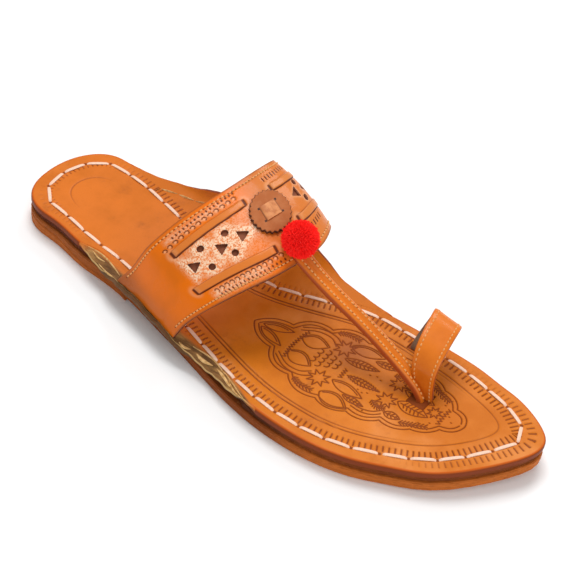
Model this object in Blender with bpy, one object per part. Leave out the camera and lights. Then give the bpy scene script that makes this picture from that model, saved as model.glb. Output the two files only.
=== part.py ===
"""Right-foot kolhapuri chappal: layered leather sole, two side ears, punched instep band,
toe strap, toe loop, pinked medallion and pompom.

Metres, +Z up. The heel points to +Y, the toe to -Y and the big-toe side to +X.
The sole stands on z = 0 with the origin below the middle of the whole shoe. The tables are
read from the line between heel and toe, and the finished shoe is moved over at the end.
"""

import math

import bmesh
import bpy
from mathutils import Vector

MM = 0.001

# Driving sizes of the shoe
LENGTH = 282 * MM
BALL = 91 * MM
INSTEP = 66 * MM
HEEL_RISE = 3.2 * MM
TOE_SPRING = 3.5 * MM
GAP = 0.3 * MM

# Leather thicknesses
INSOLE = 3.0 * MM
MIDSOLE = 3.5 * MM
OUTSOLE = 4.9 * MM
LIFT_BACK = 5.8 * MM
LIFT_FRONT = 1.4 * MM
EAR = 2.0 * MM
BAND = 2.0 * MM

# Sole edge details
MIDSOLE_RECESS = 1.0 * MM
EDGE_BEVEL = 0.6 * MM
SEAT_REST = 1.2 * MM

# Stations along the sole, as shares of its length
HEEL_ROUND = 0.078
TOE_ROUND = 0.106
HEEL_TURN = 0.039
ROUND_POWER = 2.2
SEAT_END = 0.18
WAIST_END = 0.50
LIFT_END = 0.275
WALK_START = 0.36
SPRING_START = 0.76
ROUND_STEPS = 7
BODY_STEPS = 36
STATION_STEP = 0.002
FRAME_STEP = 0.004

# The last seen from above: a share of the length from the heel, then each edge as a share of
# the ball width from the line between heel and toe
LAST = [
    {"at": 0.000, "medial": 0.264, "lateral": -0.341},
    {"at": 0.094, "medial": 0.277, "lateral": -0.350},
    {"at": 0.165, "medial": 0.247, "lateral": -0.398},
    {"at": 0.235, "medial": 0.187, "lateral": -0.418},
    {"at": 0.324, "medial": 0.121, "lateral": -0.473},
    {"at": 0.402, "medial": 0.090, "lateral": -0.539},
    {"at": 0.465, "medial": 0.104, "lateral": -0.599},
    {"at": 0.536, "medial": 0.176, "lateral": -0.665},
    {"at": 0.614, "medial": 0.267, "lateral": -0.710},
    {"at": 0.696, "medial": 0.286, "lateral": -0.714},
    {"at": 0.766, "medial": 0.277, "lateral": -0.676},
    {"at": 0.827, "medial": 0.264, "lateral": -0.599},
    {"at": 0.894, "medial": 0.220, "lateral": -0.489},
    {"at": 1.000, "medial": 0.159, "lateral": -0.203},
]

# Each ear beside the sole: seat is how far the insole is cut back, reach how far the ear
# stands out past the last, rise the height of its edge over the insole and lip the part of
# that height that is turned up at the edge; all four are shares of the instep height
EARS = {
    "lateral": [
        {"at": 0.172, "seat": 0.030, "reach": 0.010, "rise": -0.006, "lip": 0.000},
        {"at": 0.198, "seat": 0.040, "reach": 0.034, "rise": -0.026, "lip": 0.000},
        {"at": 0.235, "seat": 0.036, "reach": 0.060, "rise": -0.026, "lip": 0.010},
        {"at": 0.290, "seat": 0.032, "reach": 0.068, "rise": 0.012, "lip": 0.046},
        {"at": 0.390, "seat": 0.030, "reach": 0.072, "rise": 0.014, "lip": 0.048},
        {"at": 0.445, "seat": 0.060, "reach": 0.044, "rise": -0.030, "lip": 0.012},
        {"at": 0.490, "seat": 0.100, "reach": 0.012, "rise": -0.042, "lip": 0.000},
        {"at": 0.545, "seat": 0.074, "reach": 0.010, "rise": -0.020, "lip": 0.000},
        {"at": 0.576, "seat": 0.032, "reach": 0.008, "rise": -0.006, "lip": 0.000},
    ],
    "medial": [
        {"at": 0.140, "seat": 0.026, "reach": 0.014, "rise": 0.000, "lip": 0.000},
        {"at": 0.160, "seat": 0.028, "reach": 0.062, "rise": 0.010, "lip": 0.002},
        {"at": 0.208, "seat": 0.030, "reach": 0.150, "rise": 0.045, "lip": 0.014},
        {"at": 0.278, "seat": 0.030, "reach": 0.242, "rise": 0.144, "lip": 0.072},
        {"at": 0.360, "seat": 0.030, "reach": 0.333, "rise": 0.182, "lip": 0.090},
        {"at": 0.430, "seat": 0.030, "reach": 0.364, "rise": 0.182, "lip": 0.090},
        {"at": 0.484, "seat": 0.030, "reach": 0.348, "rise": 0.144, "lip": 0.060},
        {"at": 0.544, "seat": 0.030, "reach": 0.205, "rise": 0.060, "lip": 0.014},
        {"at": 0.568, "seat": 0.028, "reach": 0.148, "rise": 0.020, "lip": 0.002},
        {"at": 0.595, "seat": 0.026, "reach": 0.072, "rise": 0.006, "lip": 0.000},
        {"at": 0.618, "seat": 0.026, "reach": 0.014, "rise": 0.000, "lip": 0.000},
    ],
}
LIP_POWER = 10
EAR_ACROSS = [0.0, 0.2, 0.4, 0.6, 0.76, 0.87, 0.94, 1.0]
EAR_STEP = 0.005

# The feet of the band, tucked inside the ears' lips: shares of the length at the band's rear
# and front edges
BAND_FEET = {
    "lateral": {"rear": 0.268, "front": 0.416},
    "medial": {"rear": 0.303, "front": 0.459},
}
FOOT_ACROSS = [0.87, 1.0]

# The band's outer face over the foot, lateral to medial: its rear and its front edge, each as
# a share of the ball width, of the length and of the instep height
BAND_ROWS = [
    {"rear": (-0.450, 0.285, 0.365), "front": (-0.571, 0.429, 0.350)},
    {"rear": (-0.401, 0.308, 0.606), "front": (-0.511, 0.466, 0.560)},
    {"rear": (-0.242, 0.342, 0.833), "front": (-0.401, 0.499, 0.697)},
    {"rear": (-0.033, 0.372, 0.962), "front": (-0.242, 0.530, 0.788)},
    {"rear": (0.176, 0.386, 1.000), "front": (0.011, 0.547, 0.818)},
    {"rear": (0.319, 0.381, 0.924), "front": (0.225, 0.524, 0.748)},
    {"rear": (0.379, 0.349, 0.667), "front": (0.324, 0.490, 0.556)},
]
BAND_AXIS = (-0.05, 0.25)
BAND_BULGE = 2.2 * MM
BAND_STEPS = 30
BAND_ACROSS = 8

# Raised strips and cut-outs on the band, placed by shares along it (lateral foot to medial
# foot) and across it (rear to front)
STRIP_WIDTH = 3.8 * MM
STRIP_RAISE = 0.8 * MM
STRIP_SINK = 0.6 * MM
STRIPS = [
    {"start": 0.225, "end": 0.470, "across_start": 0.28, "across_end": 0.23},
    {"start": 0.195, "end": 0.480, "across_start": 0.76, "across_end": 0.79},
    {"start": 0.570, "end": 0.800, "across_start": 0.25, "across_end": 0.27},
    {"start": 0.590, "end": 0.810, "across_start": 0.67, "across_end": 0.70},
]
STRIP_STEPS = 8
HOLE_ROUND = 2.6 * MM
HOLE_TRIANGLE = 5.6 * MM
CUT_OUTS = [
    {"along": 0.250, "across": 0.525, "corners": 3, "turn": 0},
    {"along": 0.345, "across": 0.520, "corners": 3, "turn": 0},
    {"along": 0.415, "across": 0.512, "corners": 3, "turn": 0},
    {"along": 0.295, "across": 0.405, "corners": 8, "turn": 0},
    {"along": 0.375, "across": 0.405, "corners": 8, "turn": 0},
    {"along": 0.290, "across": 0.632, "corners": 8, "turn": 0},
    {"along": 0.370, "across": 0.630, "corners": 8, "turn": 0},
    {"along": 0.785, "across": 0.470, "corners": 3, "turn": 180},
    {"along": 0.708, "across": 0.460, "corners": 3, "turn": 180},
    {"along": 0.644, "across": 0.450, "corners": 3, "turn": 180},
    {"along": 0.745, "across": 0.360, "corners": 8, "turn": 0},
    {"along": 0.674, "across": 0.350, "corners": 8, "turn": 0},
    {"along": 0.745, "across": 0.575, "corners": 8, "turn": 0},
    {"along": 0.674, "across": 0.565, "corners": 8, "turn": 0},
]

# The toe strap's end lies on the band, at these shares along and across it; then it runs down
# to the toe post: shares of the ball width, of the length and of the instep height, with its
# half width and thickness
STRAP_ALONG = 0.535
STRAP_ON_BAND = [0.76, 0.87, 0.985]
STRAP_SINK = 0.5 * MM
STRAP_HALF = 4.0 * MM
STRAP_THICK = 2.6 * MM
TOE_STRAP = [
    {"at": (-0.106, 0.600, 0.680), "half": 3.9 * MM, "thick": 3.0 * MM},
    {"at": (-0.098, 0.665, 0.548), "half": 3.8 * MM, "thick": 3.0 * MM},
    {"at": (-0.096, 0.730, 0.402), "half": 3.7 * MM, "thick": 3.0 * MM},
    {"at": (-0.096, 0.774, 0.282), "half": 3.6 * MM, "thick": 3.0 * MM},
    {"at": (-0.097, 0.791, 0.205), "half": 3.5 * MM, "thick": 3.0 * MM},
    {"at": (-0.097, 0.795, 0.150), "half": 3.4 * MM, "thick": 3.0 * MM},
]
STRAP_STEPS = 20

# The toe loop from the post over the big toe to the insole's medial half
TOE_LOOP = [
    {"at": (-0.088, 0.795, 0.146), "half": 4.2 * MM, "thick": 2.0 * MM},
    {"at": (-0.088, 0.794, 0.190), "half": 4.4 * MM, "thick": 2.0 * MM},
    {"at": (-0.090, 0.788, 0.300), "half": 5.4 * MM, "thick": 2.0 * MM},
    {"at": (-0.078, 0.783, 0.412), "half": 6.2 * MM, "thick": 2.0 * MM},
    {"at": (-0.030, 0.779, 0.500), "half": 6.8 * MM, "thick": 2.0 * MM},
    {"at": (0.060, 0.774, 0.552), "half": 7.2 * MM, "thick": 2.0 * MM},
    {"at": (0.150, 0.769, 0.566), "half": 7.4 * MM, "thick": 2.0 * MM},
    {"at": (0.212, 0.763, 0.528), "half": 7.5 * MM, "thick": 2.0 * MM},
    {"at": (0.228, 0.756, 0.420), "half": 7.4 * MM, "thick": 2.0 * MM},
    {"at": (0.202, 0.747, 0.290), "half": 7.2 * MM, "thick": 2.0 * MM},
    {"at": (0.169, 0.742, 0.190), "half": 7.0 * MM, "thick": 2.0 * MM},
    {"at": (0.167, 0.742, 0.146), "half": 7.0 * MM, "thick": 2.0 * MM},
]
LOOP_TILT = 0.18
LOOP_STEPS = 26

# The cross sections of the strap and the loop, as shares of half width and thickness
RIBBED = [
    (-1, -0.5),
    (1, -0.5),
    (1, 0.28),
    (0.72, 0.5),
    (0.35, 0.5),
    (0, 0.3),
    (-0.35, 0.5),
    (-0.72, 0.5),
    (-1, 0.28),
]
PLAIN = [(-1, -0.5), (1, -0.5), (1, 0.35), (0.9, 0.5), (-0.9, 0.5), (-1, 0.35)]

# Slots that the two ends go through
SLOT_CLEARANCE = 0.5 * MM
SLOTS = [
    {"at": (-0.095, 0.795), "size": (9.6 * MM, 9.8 * MM)},
    {"at": (0.167, 0.742), "size": (3.6 * MM, 14.4 * MM)},
]

# Medallion and pompom on the band's crown
MEDALLION_ALONG = 0.522
MEDALLION_ACROSS = 0.46
MEDALLION_LONG = 11.2 * MM
MEDALLION_WIDE = 10.6 * MM
MEDALLION_THICK = 1.5 * MM
MEDALLION_TOOTH = 0.8 * MM
MEDALLION_TEETH = 26
MEDALLION_RINGS = 3
POMPOM_RADIUS = 8.6 * MM
POMPOM_TUFT = 1.0 * MM
POMPOM_BASE = 5.6 * MM
POMPOM_ALONG = 0.533
POMPOM_ACROSS = 0.872
WEAVE_HALF = 3.8 * MM
WEAVE_RAISE = 0.6 * MM
WEAVE_STEPS = 3

# Finishes: colour, roughness and metallic value
LEATHER_TAN = ((0.60, 0.22, 0.055), 0.45, 0.0)
LEATHER_ORANGE = ((0.68, 0.22, 0.02), 0.32, 0.0)
LEATHER_DARK = ((0.09, 0.028, 0.012), 0.6, 0.0)
LEATHER_SOLE = ((0.42, 0.15, 0.05), 0.55, 0.0)
LEATHER_RAW = ((0.22, 0.13, 0.05), 0.75, 0.0)
LEATHER_BROWN = ((0.33, 0.15, 0.06), 0.6, 0.0)
WOOL_RED = ((0.72, 0.02, 0.03), 0.9, 0.0)


def ease(share):
    """A soft step from 0 to 1, flat at both ends."""
    share = min(max(share, 0.0), 1.0)
    return share * share * (3.0 - 2.0 * share)


def smooth(stations, values, at):
    """The value at a station, on a smooth curve through the given values."""
    count = len(stations)
    if at <= stations[0]:
        return values[0]
    if at >= stations[-1]:
        return values[-1]
    index = 0
    while stations[index + 1] < at:
        index += 1

    def slope(place):
        before = max(place - 1, 0)
        after = min(place + 1, count - 1)
        return (values[after] - values[before]) / (stations[after] - stations[before])

    span = stations[index + 1] - stations[index]
    t = (at - stations[index]) / span
    start = values[index] * (1.0 + 2.0 * t) + slope(index) * span * t
    end = values[index + 1] * (3.0 - 2.0 * t) - slope(index + 1) * span * (1.0 - t)
    return start * (1.0 - t) ** 2 + end * t * t


def column(rows, name, at):
    """One column of a table, read smoothly at a station."""
    return smooth([row["at"] for row in rows], [row[name] for row in rows], at)


def along_sole(share):
    """The Y of a share of the length, counted from the heel."""
    return LENGTH * (0.5 - share)


def share_of(y):
    return 0.5 - y / LENGTH


def sole_point(at):
    """A place given as shares of the ball width, of the length and of the instep height."""
    return Vector((at[0] * BALL, along_sole(at[1]), at[2] * INSTEP))


def insole_top(share):
    """The foot bed: a raised heel seat, a sloping waist, a flat forefoot and toe spring."""
    forefoot = OUTSOLE + MIDSOLE + INSOLE + 2 * GAP
    heel = HEEL_RISE * (1.0 - ease((share - SEAT_END) / (WAIST_END - SEAT_END)))
    return forefoot + heel + spring(share)


def spring(share):
    lifted = max(share - SPRING_START, 0.0) / (1.0 - SPRING_START)
    return TOE_SPRING * lifted ** 2


def insole_low(share):
    return insole_top(share) - INSOLE


def midsole_top(share):
    return insole_low(share) - GAP


def midsole_low(share):
    return midsole_top(share) - MIDSOLE


def outsole_top(share):
    return midsole_low(share) - GAP


def outsole_low(share):
    """The outsole rides on the heel lift, comes down to the floor and rises at the toe."""
    if share < LIFT_END:
        return lift_top(share) + GAP
    down = 1.0 - ease((share - LIFT_END) / (WALK_START - LIFT_END))
    return (lift_top(LIFT_END) + GAP) * down + spring(share)


def lift_top(share):
    return LIFT_BACK + (LIFT_FRONT - LIFT_BACK) * ease(share / LIFT_END)


def floor(_share):
    return 0.0


def edge(side, share):
    """One edge of the last at a share of the length, rounded at the heel and the toe."""
    medial = column(LAST, "medial", share) * BALL
    lateral = column(LAST, "lateral", share) * BALL
    centre = (medial + lateral) / 2
    half = (medial - lateral) / 2
    if share < HEEL_ROUND:
        into = 1.0 - share / HEEL_ROUND
        half *= (1.0 - into ** ROUND_POWER) ** (1.0 / ROUND_POWER)
        centre -= HEEL_TURN * BALL * into ** 2
    if share > 1.0 - TOE_ROUND:
        into = (share - 1.0 + TOE_ROUND) / TOE_ROUND
        half *= (1.0 - into ** ROUND_POWER) ** (1.0 / ROUND_POWER)
    return centre + half if side == "medial" else centre - half


def stations():
    """Shares along the sole, closer together round the heel and the toe and with a pair at
    each end of each ear."""
    quarter = [math.pi / 2 * step / ROUND_STEPS for step in range(ROUND_STEPS)]
    heel = [HEEL_ROUND * (1.0 - math.cos(angle)) for angle in quarter]
    body = 1.0 - TOE_ROUND - HEEL_ROUND
    middle = [HEEL_ROUND + body * step / BODY_STEPS for step in range(BODY_STEPS + 1)]
    toe = [1.0 - TOE_ROUND * (1.0 - math.cos(angle)) for angle in reversed(quarter)]
    ends = []
    for side in EARS:
        first, last = ear_range(side)
        ends += [first - EAR_STEP, first, last, last + EAR_STEP]
    middle = [share for share in middle if min(abs(share - end) for end in ends) > EAR_STEP / 2]
    return sorted(heel + middle + ends + toe)


def rim(inset, more, end):
    """The last's outline moved inwards, as one closed ring from the heel tip round the medial
    side to the toe or the given end and back; inset takes a side and a share, and more is
    added to it."""
    shares = [share for share in stations() if share < end - STATION_STEP] + [end]
    ring = [("medial", share) for share in shares]
    back = [("lateral", share) for share in reversed(shares)]
    if end == 1.0:
        back = back[1:]
    ring += back[:-1]
    points = [Vector((edge(side, share), along_sole(share))) for side, share in ring]
    moved = []
    for index, (side, share) in enumerate(ring):
        ahead = points[(index + 1) % len(points)] - points[index - 1]
        inward = Vector((ahead.y, -ahead.x)).normalized()
        moved.append(points[index] + inward * (inset(side, share) + more))
    return moved


def ear_range(side):
    return EARS[side][0]["at"], EARS[side][-1]["at"]


def ear_seat(side, share):
    """How far the insole is cut back beside an ear, and nothing away from it."""
    first, last = ear_range(side)
    if share < first or share > last:
        return 0.0
    return column(EARS[side], "seat", share) * INSTEP


def no_inset(_side, _share):
    return 0.0


def midsole_inset(side, share):
    return max(MIDSOLE_RECESS, ear_seat(side, share) - SEAT_REST)


def slab(name, inset, low, high, finish, end=1.0):
    """A sole layer between two heights, with both edges of its side bevelled."""
    levels = [
        (EDGE_BEVEL, 0.0),
        (0.0, EDGE_BEVEL),
        (0.0, -EDGE_BEVEL),
        (EDGE_BEVEL, 0.0),
    ]
    mesh = bmesh.new()
    rings = []
    for index, (bevel, offset) in enumerate(levels):
        ring = []
        for point in rim(inset, bevel, end):
            share = share_of(point.y)
            height = (low(share) if index < 2 else high(share)) + offset
            ring.append(mesh.verts.new((point.x, point.y, height)))
        rings.append(ring)
    count = len(rings[0])
    for lower, upper in zip(rings, rings[1:]):
        for index in range(count):
            after = (index + 1) % count
            mesh.faces.new((lower[index], lower[after], upper[after], upper[index]))
    # The caps are strips between the medial and the lateral half of the ring
    first = 1
    last = count - 1
    for ring in (rings[0], rings[-1]):
        left, right = first, last
        mesh.faces.new((ring[0], ring[left], ring[right]))
        while right - left > 2:
            mesh.faces.new((ring[left], ring[left + 1], ring[right - 1], ring[right]))
            left += 1
            right -= 1
        if right - left == 2:
            mesh.faces.new((ring[left], ring[left + 1], ring[right]))
    return finish_object(name, mesh, finish)


def ear_frame(side, share):
    """A point on the last's edge and the direction straight out from it in plan."""
    here, before, after = [
        Vector((edge(side, place), along_sole(place)))
        for place in (share, share - FRAME_STEP, share + FRAME_STEP)
    ]
    ahead = (after - before).normalized()
    outward = Vector((-ahead.y, ahead.x))
    if (outward.x > 0) != (side == "medial"):
        outward = -outward
    return here, outward


def ear_point(side, share, across, offset):
    """A point of an ear: across runs from the insole's cut edge to the ear's own edge, and the
    offset stands off its upper face, towards the foot."""
    rows = EARS[side]
    seat = column(rows, "seat", share) * INSTEP - GAP
    reach = column(rows, "reach", share) * INSTEP
    lip = max(column(rows, "lip", share), 0.0) * INSTEP
    climb = column(rows, "rise", share) * INSTEP - lip
    here, outward = ear_frame(side, share)
    width = seat + reach
    flat = here + outward * (across * width - seat)
    height = insole_top(share_of(here.y)) + climb * across ** 2 + lip * across ** LIP_POWER
    slope = (2 * climb * across + LIP_POWER * lip * across ** (LIP_POWER - 1)) / width
    normal = Vector((-slope * outward.x, -slope * outward.y, 1.0)).normalized()
    return Vector((flat.x, flat.y, height)) + normal * offset


def ear(side):
    """The leather ear that stands out between the insole and the band's foot."""
    first, last = ear_range(side)
    inside = [share for share in stations() if first + 2 * EAR_STEP < share < last - 2 * EAR_STEP]
    shares = [first + EAR_STEP] + inside + [last - EAR_STEP]
    mesh = bmesh.new()
    sections = []
    for share in shares:
        upper = [mesh.verts.new(ear_point(side, share, t, 0.0)) for t in EAR_ACROSS]
        lower = [
            mesh.verts.new(ear_point(side, share, t, -(INSOLE + (EAR - INSOLE) * t)))
            for t in reversed(EAR_ACROSS)
        ]
        sections.append(upper + lower)
    loft(mesh, sections)
    return finish_object("ear_" + side, mesh, LEATHER_RAW if side == "lateral" else LEATHER_TAN)


def band_rows(across):
    """The points of the band's outer face at one share across it, from foot to foot."""
    def foot(side):
        rear, front = BAND_FEET[side]["rear"], BAND_FEET[side]["front"]
        share = rear + (front - rear) * across
        return [ear_point(side, share, t, GAP) for t in FOOT_ACROSS]

    rows = foot("lateral")
    axis = Vector((BAND_AXIS[0] * BALL, 0.0, BAND_AXIS[1] * INSTEP))
    for row in BAND_ROWS:
        point = sole_point(row["rear"]).lerp(sole_point(row["front"]), across)
        away = Vector((point.x - axis.x, 0.0, point.z - axis.z)).normalized()
        rows.append(point + away * BAND_BULGE * math.sin(math.pi * across))
    rows += reversed(foot("medial"))
    return rows


def band_lengths():
    """How far along the band each of its rows lies, measured across its middle."""
    rows = band_rows(0.5)
    lengths = [0.0]
    for before, after in zip(rows, rows[1:]):
        lengths.append(lengths[-1] + (after - before).length)
    return lengths


BAND_LENGTHS = band_lengths()
BAND_LENGTH = BAND_LENGTHS[-1]
BAND_STATIONS = [length / BAND_LENGTH for length in BAND_LENGTHS]


def band_point(along, across):
    rows = band_rows(across)
    return Vector([smooth(BAND_STATIONS, [row[axis] for row in rows], along) for axis in range(3)])


def band_width(along):
    return (band_point(along, 1.0) - band_point(along, 0.0)).length


def band_frame(along, across):
    """A point of the band's outer face with its directions along, across and outward."""
    here = band_point(along, across)
    ends = [min(max(place, 0.0), 1.0) for place in (along - FRAME_STEP, along + FRAME_STEP)]
    length = (band_point(ends[1], across) - band_point(ends[0], across)).normalized()
    width = (band_point(along, across + FRAME_STEP) - here).normalized()
    outward = width.cross(length).normalized()
    return here, length, width, outward


def band():
    """The wall of the instep band."""
    mesh = bmesh.new()
    sections = []
    for step in range(BAND_STEPS + 1):
        along = step / BAND_STEPS
        frames = [band_frame(along, across / BAND_ACROSS) for across in range(BAND_ACROSS + 1)]
        outer = [mesh.verts.new(here) for here, _, _, _ in frames]
        inner = [mesh.verts.new(here - outward * BAND) for here, _, _, outward in reversed(frames)]
        sections.append(outer + inner)
    loft(mesh, sections)
    return finish_object("upper", mesh, LEATHER_ORANGE)


def band_patch(name, corners, low, high, steps):
    """A thin solid that follows the band's outer face; corners gives a point along and across
    the band for shares of the patch."""
    mesh = bmesh.new()
    sections = []
    for step in range(steps + 1):
        upper = []
        lower = []
        for side in range(3):
            along, across = corners(step / steps, side / 2)
            here, _, _, outward = band_frame(along, across)
            upper.append(mesh.verts.new(here + outward * high))
            lower.append(mesh.verts.new(here + outward * low))
        sections.append(upper + lower[::-1])
    loft(mesh, sections)
    return finish_object(name, mesh, LEATHER_ORANGE)


def strip(name, row):
    """One woven strip, raised on the band."""
    def corners(share, side):
        along = row["start"] + (row["end"] - row["start"]) * share
        across = row["across_start"] + (row["across_end"] - row["across_start"]) * share
        return along, across + (side - 0.5) * STRIP_WIDTH / band_width(along)

    return band_patch(name, corners, -STRIP_SINK, STRIP_RAISE, STRIP_STEPS)


def cut_out_cutters():
    """One prism through the wall for each cut-out, joined in one mesh."""
    mesh = bmesh.new()
    for row in CUT_OUTS:
        here, length, width, outward = band_frame(row["along"], row["across"])
        corners = row["corners"]
        radius = (HOLE_TRIANGLE if corners == 3 else HOLE_ROUND) / 2
        rings = []
        for depth in (-2 * BAND, BAND):
            ring = []
            for corner in range(corners):
                angle = math.radians(row["turn"]) + 2 * math.pi * corner / corners
                flat = length * math.cos(angle) + width * math.sin(angle)
                ring.append(mesh.verts.new(here + flat * radius + outward * depth))
            rings.append(ring)
        loft(mesh, rings)
    return finish_object("cut_outs", mesh, LEATHER_ORANGE)


def ribbon(name, rows, steps, section):
    """A strap swept through rows of centre, width direction, half width and thickness."""
    centres = [row[0] for row in rows]
    lengths = [0.0]
    for before, after in zip(centres, centres[1:]):
        lengths.append(lengths[-1] + (after - before).length)

    def read(values, at):
        return smooth(lengths, values, at)

    def centre_at(at):
        return Vector([read([centre[axis] for centre in centres], at) for axis in range(3)])

    mesh = bmesh.new()
    rings = []
    for step in range(steps + 1):
        at = lengths[-1] * step / steps
        reach = lengths[-1] / steps / 4
        ahead = centre_at(min(at + reach, lengths[-1])) - centre_at(max(at - reach, 0.0))
        wide = Vector([read([row[1][axis] for row in rows], at) for axis in range(3)])
        up = wide.cross(ahead).normalized()
        wide = ahead.cross(up).normalized()
        half = read([row[2] for row in rows], at)
        thick = read([row[3] for row in rows], at)
        ring = [centre_at(at) + wide * half * a + up * thick * b for a, b in section]
        rings.append([mesh.verts.new(point) for point in ring])
    loft(mesh, rings)
    return finish_object(name, mesh, LEATHER_ORANGE)


def toe_strap():
    rows = []
    for across in STRAP_ON_BAND:
        here, length, _, outward = band_frame(STRAP_ALONG, across)
        centre = here + outward * (STRAP_THICK / 2 - STRAP_SINK)
        rows.append((centre, -length, STRAP_HALF, STRAP_THICK))
    for row in TOE_STRAP:
        rows.append((sole_point(row["at"]), Vector((-1, 0, 0)), row["half"], row["thick"]))
    return ribbon("toe_strap", rows, STRAP_STEPS, RIBBED)


def toe_loop():
    wide = Vector((0, -1, -LOOP_TILT))
    rows = [(sole_point(row["at"]), wide, row["half"], row["thick"]) for row in TOE_LOOP]
    return ribbon("toe_loop", rows, LOOP_STEPS, PLAIN)


def slot_cutters():
    """Boxes through the insole where the post and the loop's far end go down."""
    mesh = bmesh.new()
    for slot in SLOTS:
        share = slot["at"][1]
        size = (slot["size"][0] + 2 * SLOT_CLEARANCE, slot["size"][1] + 2 * SLOT_CLEARANCE)
        centre = (slot["at"][0] * BALL, along_sole(share))
        rings = []
        for height in (insole_low(share) - INSOLE, insole_top(share) + INSOLE):
            corners = [(-0.5, -0.5), (0.5, -0.5), (0.5, 0.5), (-0.5, 0.5)]
            rings.append([
                mesh.verts.new((centre[0] + a * size[0], centre[1] + b * size[1], height))
                for a, b in corners
            ])
        loft(mesh, rings)
    return finish_object("slots", mesh, LEATHER_TAN)


def medallion():
    """A pinked leather disc that follows the band's crown."""
    wide = band_width(MEDALLION_ALONG)

    def disc_place(x, y):
        return MEDALLION_ALONG + x / BAND_LENGTH, MEDALLION_ACROSS + y / wide

    def disc_point(x, y, offset):
        here, _, _, outward = band_frame(*disc_place(x, y))
        return here + outward * offset

    mesh = bmesh.new()
    faces = []
    for offset in (GAP + MEDALLION_THICK, GAP):
        rings = [[mesh.verts.new(disc_point(0.0, 0.0, offset))]]
        for ring in range(1, MEDALLION_RINGS + 1):
            points = []
            for tooth in range(2 * MEDALLION_TEETH):
                angle = math.pi * tooth / MEDALLION_TEETH
                reach = ring / MEDALLION_RINGS
                cut = MEDALLION_TOOTH * (tooth % 2) if ring == MEDALLION_RINGS else 0.0
                x = (MEDALLION_WIDE - cut) * reach * math.cos(angle)
                y = (MEDALLION_LONG - cut) * reach * math.sin(angle)
                points.append(mesh.verts.new(disc_point(x, y, offset)))
            rings.append(points)
        faces.append(rings)
    count = 2 * MEDALLION_TEETH
    for rings in faces:
        for index in range(count):
            after = (index + 1) % count
            mesh.faces.new((rings[0][0], rings[1][index], rings[1][after]))
            for inner, outer in zip(rings[1:], rings[2:]):
                mesh.faces.new((inner[index], outer[index], outer[after], inner[after]))
    for index in range(count):
        after = (index + 1) % count
        upper, lower = faces[0][-1], faces[1][-1]
        mesh.faces.new((upper[index], lower[index], lower[after], upper[after]))
    disc = finish_object("medallion", mesh, LEATHER_BROWN)

    def corners(share, side):
        return disc_place((2 * share - 1) * WEAVE_HALF, (2 * side - 1) * WEAVE_HALF)

    low = GAP + MEDALLION_THICK / 2
    high = GAP + MEDALLION_THICK + WEAVE_RAISE
    weave = band_patch("weave", corners, low, high, WEAVE_STEPS)
    combine(disc, weave, "UNION")
    return disc


def pompom():
    """A wool ball of short tufts with a flat base over the strap's end."""
    here, _, _, outward = band_frame(POMPOM_ALONG, POMPOM_ACROSS)
    floor_height = STRAP_THICK - STRAP_SINK + GAP
    mesh = bmesh.new()
    bmesh.ops.create_icosphere(mesh, subdivisions=3, radius=POMPOM_RADIUS)
    tufts = bmesh.ops.poke(mesh, faces=mesh.faces[:])["verts"]
    for vert in tufts:
        vert.co *= 1.0 + POMPOM_TUFT / POMPOM_RADIUS
    turn = Vector((0, 0, 1)).rotation_difference(outward)
    for vert in mesh.verts:
        vert.co.z = max(vert.co.z, -POMPOM_BASE)
        vert.co = here + turn @ vert.co + outward * (floor_height + POMPOM_BASE)
    return finish_object("pompom", mesh, WOOL_RED)


def loft(mesh, sections):
    """Join closed sections of equal count with quads and cap both ends."""
    count = len(sections[0])
    for before, after in zip(sections, sections[1:]):
        for index in range(count):
            beside = (index + 1) % count
            mesh.faces.new((before[index], before[beside], after[beside], after[index]))
    mesh.faces.new(sections[0][::-1])
    mesh.faces.new(sections[-1])


def finish_object(name, mesh, finish):
    """Close a mesh into a named object with its material."""
    bmesh.ops.triangulate(mesh, faces=mesh.faces[:], quad_method="SHORT_EDGE")
    bmesh.ops.recalc_face_normals(mesh, faces=mesh.faces[:])
    data = bpy.data.meshes.new(name)
    mesh.to_mesh(data)
    mesh.free()
    data.shade_smooth()
    data.set_sharp_from_angle(angle=math.radians(35))
    colour, roughness, metallic = finish
    material = bpy.data.materials.new(name)
    material.use_nodes = True
    shader = material.node_tree.nodes["Principled BSDF"]
    shader.inputs["Base Color"].default_value = (*colour, 1.0)
    shader.inputs["Roughness"].default_value = roughness
    shader.inputs["Metallic"].default_value = metallic
    data.materials.append(material)
    result = bpy.data.objects.new(name, data)
    bpy.context.scene.collection.objects.link(result)
    return result


def combine(target, tool, operation):
    """Join or cut with a hidden tool object."""
    tool.hide_render = True
    tool.display_type = "WIRE"
    modifier = target.modifiers.new(tool.name, "BOOLEAN")
    modifier.operation = operation
    modifier.object = tool


def centre_over_origin():
    """Move everything sideways until the origin lies below the middle of the whole width."""
    shown = [item for item in bpy.data.objects if not item.hide_render]
    places = [vert.co.x for item in shown for vert in item.data.vertices]
    middle = (min(places) + max(places)) / 2
    for item in bpy.data.objects:
        for vert in item.data.vertices:
            vert.co.x -= middle


def build():
    for old in list(bpy.data.objects):
        bpy.data.objects.remove(old)
    slab("heel_lift", no_inset, floor, lift_top, LEATHER_SOLE, LIFT_END)
    slab("outsole", no_inset, outsole_low, outsole_top, LEATHER_SOLE)
    slab("midsole", midsole_inset, midsole_low, midsole_top, LEATHER_DARK)
    insole = slab("insole", ear_seat, insole_low, insole_top, LEATHER_TAN)
    combine(insole, slot_cutters(), "DIFFERENCE")
    ear("lateral")
    ear("medial")
    upper = band()
    for index, row in enumerate(STRIPS):
        combine(upper, strip("strip_%d" % index, row), "UNION")
    combine(upper, toe_strap(), "UNION")
    combine(upper, toe_loop(), "UNION")
    combine(upper, cut_out_cutters(), "DIFFERENCE")
    medallion()
    pompom()
    centre_over_origin()


build()
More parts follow.
